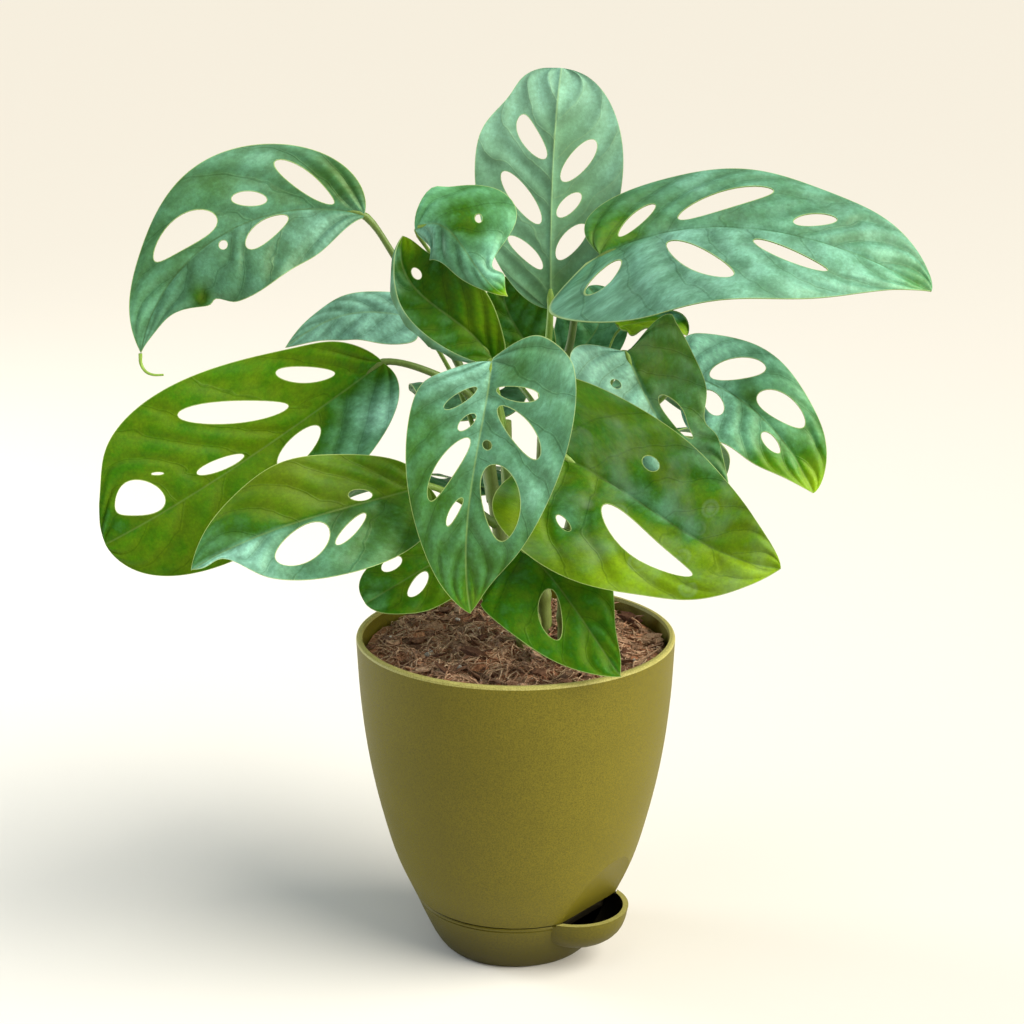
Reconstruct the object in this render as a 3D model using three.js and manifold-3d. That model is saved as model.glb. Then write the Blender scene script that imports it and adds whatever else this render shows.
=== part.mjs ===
// A swiss cheese vine, the small aroid with holed leaves, planted in a self-watering pot.
// Millimetres, +Z up. The origin is the middle of the pot's underside. The fill cup is at the front right.

import * as THREE from 'three';
import { mergeVertices } from 'three/addons/utils/BufferGeometryUtils.js';
import Module from 'manifold-3d';

const wasm = await Module();
wasm.setup();

// Driving sizes of the pot
const POT_HEIGHT = 136;
const SEAM_HEIGHT = 23;
const SHELL_WALL = 2.6;
const TRAY_WALL = 2.4;
const GAP = 0.3;
const ROUND_SIDES = 40;

// Outer radius of the pot at each height, as [height, radius]
const POT_SIDE = [
  [0, 30], [1, 31.6], [4, 33.8], [12, 37.9], [23, 42.6], [40, 50], [60, 55.8], [85, 61], [110, 64], [135, 65.4],
];

// The fill cup and the flat facet above it face this way, seen from above
const CUP_TURN = THREE.MathUtils.degToRad(-39);
const FACET_DISTANCE = 37.8;
const FACET_LEAN = THREE.MathUtils.degToRad(29.7);
const CUP_CENTRE = 32;
const CUP_RADIUS = 22;
const CUP_WALL = 2;
const CUP_RIM = 24;
const CUP_SIDES = 32;

// The cup's outside as [radius, height, how much of the wall is added to the height on the inside]
const CUP_SIDE = [[0, 9, 1], [11, 9.6, 1], [15.4, 11.5, 0.8], [19, 14.8, 0.4], [21, 19, 0]];

// The cup starts just outside the shell's lowest ring
const CUP_START = 43.5;

// Floor of the shell, with the well that dips its soil in the tray's water
const FLOOR_TOP = 26.6;
const FLOOR_THICKNESS = 2.4;
const COLLAR_FOOT = 18;
const COLLAR_WALL = 1.8;
const WELL_RADIUS = 15;
const WELL_FOOT = 5;
const WELL_WALL = 2;
const WELL_SIDES = 24;
const WELL_SLOTS = { count: 6, width: 2.4, height: 9, level: 12 };
const FLOOR_HOLES = { count: 8, radius: 1.8, sides: 8, ring: 24 };

// The rolled rim closes in by this much over the last millimetre
const RIM_START = POT_HEIGHT - 1;
const RIM_ROLL = 1;

// Long enough for a cutting tool to pass right through what it cuts
const THROUGH = 120;

const SOIL_TOP = 129;
const SOIL_RINGS = [55, 44, 32, 20, 9];
const STEM_SIDES = 8;
const PETIOLE_SIDES = 5;
const BLADE_THICKNESS = 0.8;
const RIB_KEEL = 0.6;

const finish = {
  pot: { color: 0x6f6a22, roughness: 0.62, metalness: 0 },
  soil: { color: 0x5a3524, roughness: 0.95, metalness: 0 },
  stem: { color: 0x6d7a35, roughness: 0.6, metalness: 0 },
};

// Solids

function toSolid(geometry) {
  const bare = geometry.clone();
  for (const name of Object.keys(bare.attributes)) {
    if (name !== 'position') bare.deleteAttribute(name);
  }
  const merged = mergeVertices(bare, 1e-4);
  const vertProperties = Float32Array.from(merged.attributes.position.array);
  const triVerts = Uint32Array.from(merged.index.array);
  return new wasm.Manifold(new wasm.Mesh({ numProp: 3, vertProperties, triVerts }));
}

function toGeometry(solid) {
  const mesh = solid.getMesh();
  const geometry = new THREE.BufferGeometry();
  geometry.setAttribute('position', new THREE.BufferAttribute(mesh.vertProperties, 3));
  geometry.setIndex(new THREE.BufferAttribute(mesh.triVerts, 1));
  const faceted = geometry.toNonIndexed();
  faceted.computeVertexNormals();
  return faceted;
}

function toMesh(name, solid, look) {
  const mesh = new THREE.Mesh(toGeometry(solid), new THREE.MeshStandardMaterial(look));
  mesh.name = name;
  return mesh;
}

// A turned solid from its profile, as [height, radius] pairs that start and end on the axis
function turned(profile, sides = ROUND_SIDES) {
  const points = profile.map(([height, radius]) => new THREE.Vector2(radius, height));
  const geometry = new THREE.LatheGeometry(points, sides);
  geometry.rotateX(Math.PI / 2);
  return toSolid(geometry);
}

function cylinder(radius, bottom, top, sides) {
  return turned([[bottom, 0], [bottom, radius], [top, radius], [top, 0]], sides);
}

// Everything beyond the facet's plane, moved inward by a wall's thickness
function beyondFacet(inset) {
  const block = new THREE.BoxGeometry(THROUGH, THROUGH, THROUGH);
  block.translate(THROUGH / 2 - inset, 0, 0);
  block.rotateY(FACET_LEAN);
  block.translate(FACET_DISTANCE, 0, SEAM_HEIGHT);
  block.rotateZ(CUP_TURN);
  return toSolid(block);
}

// The pot

function sideRadius(height) {
  const above = Math.max(POT_SIDE.findIndex(([level]) => level >= height), 1);
  const [h1, r1] = POT_SIDE[above];
  const [h0, r0] = POT_SIDE[above - 1];
  return r0 + (r1 - r0) * (height - h0) / (h1 - h0);
}

function sideProfile(bottom, top, inset) {
  const between = POT_SIDE.filter(([height]) => height > bottom && height < top);
  const heights = [bottom, ...between.map(([height]) => height), top];
  return heights.map((height) => [height, sideRadius(height) - inset]);
}

function makeShell() {
  const collar = sideProfile(COLLAR_FOOT, SEAM_HEIGHT, TRAY_WALL + GAP);
  const outside = turned([
    [COLLAR_FOOT, 0],
    [COLLAR_FOOT, collar[0][1]],
    [SEAM_HEIGHT + GAP, collar[0][1]],
    ...sideProfile(SEAM_HEIGHT + GAP, RIM_START, 0),
    [POT_HEIGHT, sideRadius(RIM_START) - RIM_ROLL],
    [POT_HEIGHT, 0],
  ]);
  const inside = turned([
    [FLOOR_TOP, 0],
    ...sideProfile(FLOOR_TOP, RIM_START, SHELL_WALL),
    [POT_HEIGHT + 1, sideRadius(RIM_START) - SHELL_WALL],
    [POT_HEIGHT + 1, 0],
  ]);
  const hollow = collar[0][1] - COLLAR_WALL;
  const underFloor = cylinder(hollow, COLLAR_FOOT - 1, FLOOR_TOP - FLOOR_THICKNESS, ROUND_SIDES);
  const wellOutside = cylinder(WELL_RADIUS, WELL_FOOT, FLOOR_TOP - 1, WELL_SIDES);
  const wellInside = cylinder(WELL_RADIUS - WELL_WALL, WELL_FOOT + WELL_WALL, FLOOR_TOP + 1, WELL_SIDES);
  let shell = outside.subtract(beyondFacet(0));
  shell = shell.subtract(inside.subtract(beyondFacet(SHELL_WALL)));
  shell = shell.subtract(underFloor.subtract(beyondFacet(SHELL_WALL)));
  shell = shell.add(wellOutside).subtract(wellInside);

  for (let i = 0; i < WELL_SLOTS.count; i += 1) {
    const slot = new THREE.BoxGeometry(3 * WELL_WALL, WELL_SLOTS.width, WELL_SLOTS.height);
    slot.translate(WELL_RADIUS - WELL_WALL / 2, 0, WELL_SLOTS.level);
    slot.rotateZ(2 * Math.PI * i / WELL_SLOTS.count);
    shell = shell.subtract(toSolid(slot));
  }
  for (let i = 0; i < FLOOR_HOLES.count; i += 1) {
    const { radius, sides, ring } = FLOOR_HOLES;
    const drain = new THREE.CylinderGeometry(radius, radius, 3 * FLOOR_THICKNESS, sides);
    drain.rotateX(Math.PI / 2);
    drain.translate(ring, 0, FLOOR_TOP);
    drain.rotateZ(2 * Math.PI * (i + 0.5) / FLOOR_HOLES.count);
    shell = shell.subtract(toSolid(drain));
  }
  return shell;
}

// The cup's bowl around its own axis, thinned by an inset
function cupBowl(inset, top) {
  const outline = CUP_SIDE.map(([radius, height, floorShare]) => {
    return new THREE.Vector2(Math.max(radius - inset, 0), height + inset * floorShare);
  });
  const geometry = new THREE.LatheGeometry([
    ...outline,
    new THREE.Vector2(CUP_RADIUS - inset, top),
    new THREE.Vector2(0, top),
  ], CUP_SIDES);
  geometry.rotateX(Math.PI / 2);
  geometry.translate(CUP_CENTRE, 0, 0);
  geometry.rotateZ(CUP_TURN);
  return toSolid(geometry);
}

function makeTray() {
  const body = turned([[0, 0], ...sideProfile(0, SEAM_HEIGHT, 0), [SEAM_HEIGHT, 0]]);
  const hollow = turned([
    [TRAY_WALL, 0],
    ...sideProfile(TRAY_WALL, SEAM_HEIGHT, TRAY_WALL),
    [SEAM_HEIGHT + 4, sideRadius(SEAM_HEIGHT) - TRAY_WALL],
    [SEAM_HEIGHT + 4, 0],
  ]);
  const lip = cylinder(CUP_START, SEAM_HEIGHT, CUP_RIM + 1, ROUND_SIDES);
  const cup = cupBowl(0, CUP_RIM).subtract(lip);
  return body.add(cup).subtract(hollow).subtract(cupBowl(CUP_WALL, CUP_RIM + 2).subtract(beyondTrayBack()));
}

// The far half of the tray, which the cup's hollow leaves whole
function beyondTrayBack() {
  const block = new THREE.BoxGeometry(THROUGH, THROUGH, THROUGH);
  block.translate(FLOOR_HOLES.ring - THROUGH / 2, 0, 0);
  block.rotateZ(CUP_TURN);
  return toSolid(block);
}

// How far the soil's uneven top swells over its edge
function soilSwell(x, y) {
  return 1.2 + 1.3 * Math.sin(0.21 * x + 1.3) * Math.cos(0.17 * y) + 0.9 * Math.sin(0.31 * y - 0.13 * x);
}

// The soil fills the shell and its well. Its top is uneven, with a hole around each stem.
function makeSoil(sleeves) {
  const rim = sideProfile(FLOOR_TOP + GAP, SOIL_TOP - 1.5, SHELL_WALL + GAP);
  const edge = rim.at(-1)[1];
  const foot = WELL_FOOT + WELL_WALL + GAP;
  const well = WELL_RADIUS - WELL_WALL - GAP;
  const top = SOIL_RINGS.map((radius) => [SOIL_TOP, radius]);
  const profile = [[foot, 0], [foot, well], [FLOOR_TOP + GAP, well], ...rim, ...top, [SOIL_TOP, 0]];
  const points = profile.map(([height, radius]) => new THREE.Vector2(radius, height));
  const geometry = new THREE.LatheGeometry(points, ROUND_SIDES);
  geometry.rotateX(Math.PI / 2);
  const position = geometry.attributes.position;
  for (let i = 0; i < position.count; i += 1) {
    const x = position.getX(i);
    const y = position.getY(i);
    const inner = THREE.MathUtils.smoothstep(edge - Math.hypot(x, y), 1, 8);
    if (position.getZ(i) > SOIL_TOP - 1) position.setZ(i, SOIL_TOP + inner * soilSwell(x, y));
  }
  let soil = toSolid(geometry).subtract(beyondFacet(SHELL_WALL + GAP));
  for (const sleeve of sleeves) soil = soil.subtract(sleeve);
  return soil;
}

// A round tube along a curve, with its own radius at each step
function sweep(points, radii, sides) {
  const count = points.length;
  const tangents = points.map((point, i) => {
    const before = points[Math.max(i - 1, 0)];
    const after = points[Math.min(i + 1, count - 1)];
    return after.clone().sub(before).normalize();
  });
  const across = new THREE.Vector3(0, 1, 0);
  if (Math.abs(tangents[0].y) > 0.9) across.set(1, 0, 0);
  const positions = [];
  points.forEach((point, i) => {
    across.addScaledVector(tangents[i], -across.dot(tangents[i])).normalize();
    const along = tangents[i].clone().cross(across);
    for (let k = 0; k < sides; k += 1) {
      const angle = 2 * Math.PI * k / sides;
      const spoke = across.clone().multiplyScalar(Math.cos(angle)).addScaledVector(along, Math.sin(angle));
      positions.push(...point.clone().addScaledVector(spoke, radii[i]).toArray());
    }
  });
  const index = [];
  for (let i = 0; i < count - 1; i += 1) {
    for (let k = 0; k < sides; k += 1) {
      const a = i * sides + k;
      const b = i * sides + (k + 1) % sides;
      index.push(a, b, b + sides, a, b + sides, a + sides);
    }
  }
  const last = (count - 1) * sides;
  for (let k = 1; k < sides - 1; k += 1) {
    index.push(0, k + 1, k, last, last + k, last + k + 1);
  }
  const geometry = new THREE.BufferGeometry();
  geometry.setAttribute('position', new THREE.Float32BufferAttribute(positions, 3));
  geometry.setIndex(index);
  return toSolid(geometry);
}

function curveThrough(places, steps) {
  const curve = new THREE.CatmullRomCurve3(places.map((place) => new THREE.Vector3(...place)));
  return curve.getSpacedPoints(steps);
}

// The stems stand in the soil. Each swells a little where its leaves part from it.
const stems = {
  stem_left: {
    path: [[6, 1, 96], [3, 0, 134], [-5, -1, 170], [-10, 0, 202], [-13, 2, 232]], foot: 3.4, tip: 2.4,
  },
  stem_front: {
    path: [[12, -13, 98], [9, -14, 136], [1, -17, 170], [-3, -20, 202], [-4, -22, 230]], foot: 3.2, tip: 2.3,
  },
  stem_back: {
    path: [[13, 15, 96], [12, 14, 136], [10, 12, 172], [11, 9, 207], [12, 8, 238]], foot: 3.4, tip: 2.5,
  },
  stem_right: {
    path: [[21, 1, 97], [20, 0, 136], [20, -3, 168], [25, -4, 197], [29, -4, 222]], foot: 3.1, tip: 2.3,
  },
};

const STEM_STEPS = 22;
const STEM_GAP = 0.35;
const NODE_STEP = 4;
const NODE_SWELL = 0.5;

function makeStem({ path, foot, tip }, extra) {
  const points = curveThrough(path, STEM_STEPS);
  const radii = points.map((point, i) => {
    const swell = i % NODE_STEP === 0 ? NODE_SWELL : 0;
    return THREE.MathUtils.lerp(foot, tip, i / STEM_STEPS) + swell + extra;
  });
  const lengthen = (end, beside) => end.addScaledVector(end.clone().sub(beside).normalize(), extra);
  lengthen(points[0], points[1]);
  lengthen(points[STEM_STEPS], points[STEM_STEPS - 1]);
  return sweep(points, radii, STEM_SIDES);
}

// A leaf's surface. A place on it is u, from 0 at the petiole to 1 at the tip, and t, from -1 at the left
// margin over 0 on the midrib to 1 at the right one, seen on the upper side with the tip up.
class LeafSurface {
  constructor(leaf) {
    Object.assign(this, {
      lift: [8, 8], curl: [-10, -10], peak: [0.4, 0.4], taper: [0.8, 0.8], lobe: [0.2, 0.2], nicks: [],
    }, leaf);
    const [start, third, twoThirds, end] = this.rib.map((place) => new THREE.Vector3(...place));
    const weigh = (a, b, c, d) => start.clone().multiplyScalar(a / 6).addScaledVector(third, b / 6)
      .addScaledVector(twoThirds, c / 6).addScaledVector(end, d / 6);
    this.curve = new THREE.CubicBezierCurve3(start, weigh(-5, 18, -9, 2), weigh(2, -9, 18, -5), end);
    this.length = this.curve.getLength();
    this.faceWay = new THREE.Vector3(...this.face).normalize();
  }

  // The half width at u as a share of the widest one
  spread(u, side) {
    const peak = this.peak[side];
    const fall = this.taper[side];
    const rise = fall * peak / (1 - peak);
    return (u ** rise) * ((1 - u) ** fall) / ((peak ** rise) * ((1 - peak) ** fall));
  }

  halfWidth(u, side) {
    let width = this.spread(u, side) * this.wide[side];
    for (const [nickSide, place, depth, reach] of this.nicks) {
      if (nickSide === side) width -= depth * Math.exp(-(((u - place) / reach) ** 2));
    }
    return Math.max(width, 0);
  }

  // The point at u and t, raised off the surface by a height
  point(u, t, height = 0) {
    const side = t < 0 ? 0 : 1;
    const out = Math.abs(t);
    const along = u - this.lobe[side] * out ** 1.6 * (1 - u) ** 3 * this.spread(u, side);
    const clamped = Math.max(along, 0);
    const tangent = this.curve.getTangent(clamped);
    const start = this.curve.getTangent(0);
    const reach = 3 * this.curve.v0.distanceTo(this.curve.v1);
    const place = this.curve.getPoint(clamped).addScaledVector(start, Math.min(along, 0) * reach);
    const sideways = tangent.clone().cross(this.faceWay).normalize();
    const up = sideways.clone().cross(tangent);
    const lift = THREE.MathUtils.degToRad(this.lift[side]);
    const curl = THREE.MathUtils.degToRad(this.curl[side]);
    const width = this.halfWidth(u, side);
    const outward = (Math.sin(lift + curl * out) - Math.sin(lift)) / curl * width;
    const upward = (Math.cos(lift) - Math.cos(lift + curl * out)) / curl * width;
    const slope = lift + curl * out;
    const sign = t < 0 ? -1 : 1;
    const normal = up.clone().multiplyScalar(Math.cos(slope));
    normal.addScaledVector(sideways, -sign * Math.sin(slope));
    place.addScaledVector(sideways, sign * outward).addScaledVector(up, upward);
    return place.addScaledVector(normal, height);
  }
}

// The places around one hole: an ellipse from [u1, t1] to [u2, t2], so many millimetres wide
function holeRing(surface, [u1, t1, u2, t2, width], count) {
  const side = t1 + t2 < 0 ? 0 : 1;
  const middle = [(u1 + u2) / 2, (t1 + t2) / 2];
  const half = [(u2 - u1) / 2, (t2 - t1) / 2];
  const spread = surface.halfWidth(middle[0], side);
  const reach = Math.hypot(half[0] * surface.length, half[1] * spread);
  return Array.from({ length: count }, (_, i) => {
    const angle = 2 * Math.PI * i / count;
    const along = Math.cos(angle);
    const across = Math.sin(angle) * width / 2 / reach;
    return [
      middle[0] + half[0] * along - half[1] * spread / surface.length * across,
      middle[1] + half[1] * along + half[0] * surface.length / spread * across,
    ];
  });
}

const RIB_POINTS = 9;
const MARGIN_POINTS = 11;
const LONG_HOLE = { reach: 0.12, width: 8, points: 8 };
const SHORT_HOLE_POINTS = 6;
const SWAP_ROUNDS = 40;
const LEAST_AREA = 1e-3;

// Triangles of one half of a blade, with edges swapped until none is needlessly thin on the flat pattern
function halfTriangles(surface, side) {
  const sign = side === 0 ? -1 : 1;
  const places = [];
  for (let i = 0; i <= RIB_POINTS; i += 1) places.push([i / RIB_POINTS, 0]);
  for (let i = MARGIN_POINTS - 1; i > 0; i -= 1) {
    places.push([(1 - Math.cos(Math.PI * i / MARGIN_POINTS)) / 2, sign]);
  }
  const contourCount = places.length;
  const mine = surface.holes.filter(([, t1, , t2]) => (t1 + t2 < 0 ? 0 : 1) === side);
  const rings = mine.map((hole) => {
    const long = Math.abs(hole[2] - hole[0]) > LONG_HOLE.reach || hole[4] > LONG_HOLE.width;
    return holeRing(surface, hole, long ? LONG_HOLE.points : SHORT_HOLE_POINTS);
  });
  places.push(...rings.flat());
  const flat = places.map(([u, t]) => new THREE.Vector2(u * surface.length, t * surface.halfWidth(u, side)));
  let used = contourCount;
  const holes = rings.map((ring) => {
    used += ring.length;
    return flat.slice(used - ring.length, used);
  });
  const triangles = THREE.ShapeUtils.triangulateShape(flat.slice(0, contourCount), holes);
  const oriented = triangles.map(([a, b, c]) => (turning(flat, a, b, c) < 0 ? [a, b, c] : [a, c, b]));
  swapEdges(oriented, flat);
  return oriented.map((triangle) => triangle.map((corner) => places[corner]));
}

// Twice the signed area of a triangle on the flat pattern
function turning(flat, a, b, c) {
  return flat[b].clone().sub(flat[a]).cross(flat[c].clone().sub(flat[a]));
}

function swapEdges(triangles, flat) {
  const angle = (tip, a, b) => flat[a].clone().sub(flat[tip]).angleTo(flat[b].clone().sub(flat[tip]));
  for (let round = 0; round < SWAP_ROUNDS; round += 1) {
    const owner = new Map();
    let swapped = false;
    for (const triangle of triangles) {
      triangle.forEach((from, i) => owner.set(`${from},${triangle[(i + 1) % 3]}`, triangle));
    }
    for (const triangle of triangles) {
      for (let i = 0; i < 3; i += 1) {
        const [a, b, c] = [triangle[i], triangle[(i + 1) % 3], triangle[(i + 2) % 3]];
        const other = owner.get(`${b},${a}`);
        if (!other || other === triangle || !other.includes(a) || !other.includes(b)) continue;
        const d = other.find((corner) => corner !== a && corner !== b);
        if (owner.get(`${a},${b}`) !== triangle) continue;
        const thin = angle(c, a, b) + angle(d, a, b) > Math.PI + 1e-6;
        if (!thin || turning(flat, a, d, c) >= -LEAST_AREA || turning(flat, d, b, c) >= -LEAST_AREA) continue;
        triangle.splice(0, 3, a, d, c);
        other.splice(0, 3, d, b, c);
        for (const changed of [triangle, other]) {
          changed.forEach((from, k) => owner.set(`${from},${changed[(k + 1) % 3]}`, changed));
        }
        owner.delete(`${a},${b}`);
        owner.delete(`${b},${a}`);
        swapped = true;
        break;
      }
    }
    if (!swapped) return;
  }
}

// The blade: the same triangles on both faces, joined by a wall along the margin and around each hole
function makeBlade(surface) {
  const triangles = [...halfTriangles(surface, 0), ...halfTriangles(surface, 1)];
  const places = new Map();
  const corners = triangles.map((triangle) => triangle.map(([u, t]) => {
    const key = `${u.toFixed(5)},${(u > 0 && u < 1 ? t : 0).toFixed(5)}`;
    if (!places.has(key)) places.set(key, { number: places.size, u, t });
    return places.get(key).number;
  }));
  const count = places.size;
  const positions = [];
  for (const { u, t } of places.values()) {
    positions.push(...surface.point(u, t, BLADE_THICKNESS / 2).toArray());
  }
  for (const { u, t } of places.values()) {
    const keel = t === 0 ? RIB_KEEL * (1 - u) : 0;
    positions.push(...surface.point(u, t, -BLADE_THICKNESS / 2 - keel).toArray());
  }
  const index = [];
  const edges = new Set(corners.flatMap(([a, b, c]) => [`${a},${b}`, `${b},${c}`, `${c},${a}`]));
  for (const [a, b, c] of corners) {
    index.push(a, b, c, a + count, c + count, b + count);
    for (const [from, to] of [[a, b], [b, c], [c, a]]) {
      if (!edges.has(`${to},${from}`)) index.push(from, from + count, to + count, from, to + count, to);
    }
  }
  const geometry = new THREE.BufferGeometry();
  geometry.setAttribute('position', new THREE.Float32BufferAttribute(positions, 3));
  geometry.setIndex(index);
  return toSolid(geometry);
}

// The petiole runs from inside its stem to a little way along the underside of the blade
const PETIOLE_STEPS = 8;
const PETIOLE_FOOT = 1.9;
const PETIOLE_TIP = 1.2;
const PETIOLE_OVERLAP = 8;
const FULL_SIZE_BLADE = 90;

function makePetiole(surface) {
  const reach = PETIOLE_OVERLAP / surface.length;
  const places = [
    ...surface.petiole.toReversed(),
    surface.point(0, 0, -1.5 * BLADE_THICKNESS).toArray(),
    surface.point(reach, 0, -BLADE_THICKNESS).toArray(),
  ];
  const points = curveThrough(places, PETIOLE_STEPS);
  const thick = Math.min(surface.length / FULL_SIZE_BLADE, 1);
  const radii = points.map((point, i) => {
    return thick * THREE.MathUtils.lerp(PETIOLE_FOOT, PETIOLE_TIP, i / PETIOLE_STEPS);
  });
  return sweep(points, radii, PETIOLE_SIDES);
}

function makeLeaf(leaf, sleeves) {
  const surface = new LeafSurface(leaf);
  return makeBlade(surface).add(makePetiole(surface)).subtract(sleeves[leaf.stem]);
}

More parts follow.
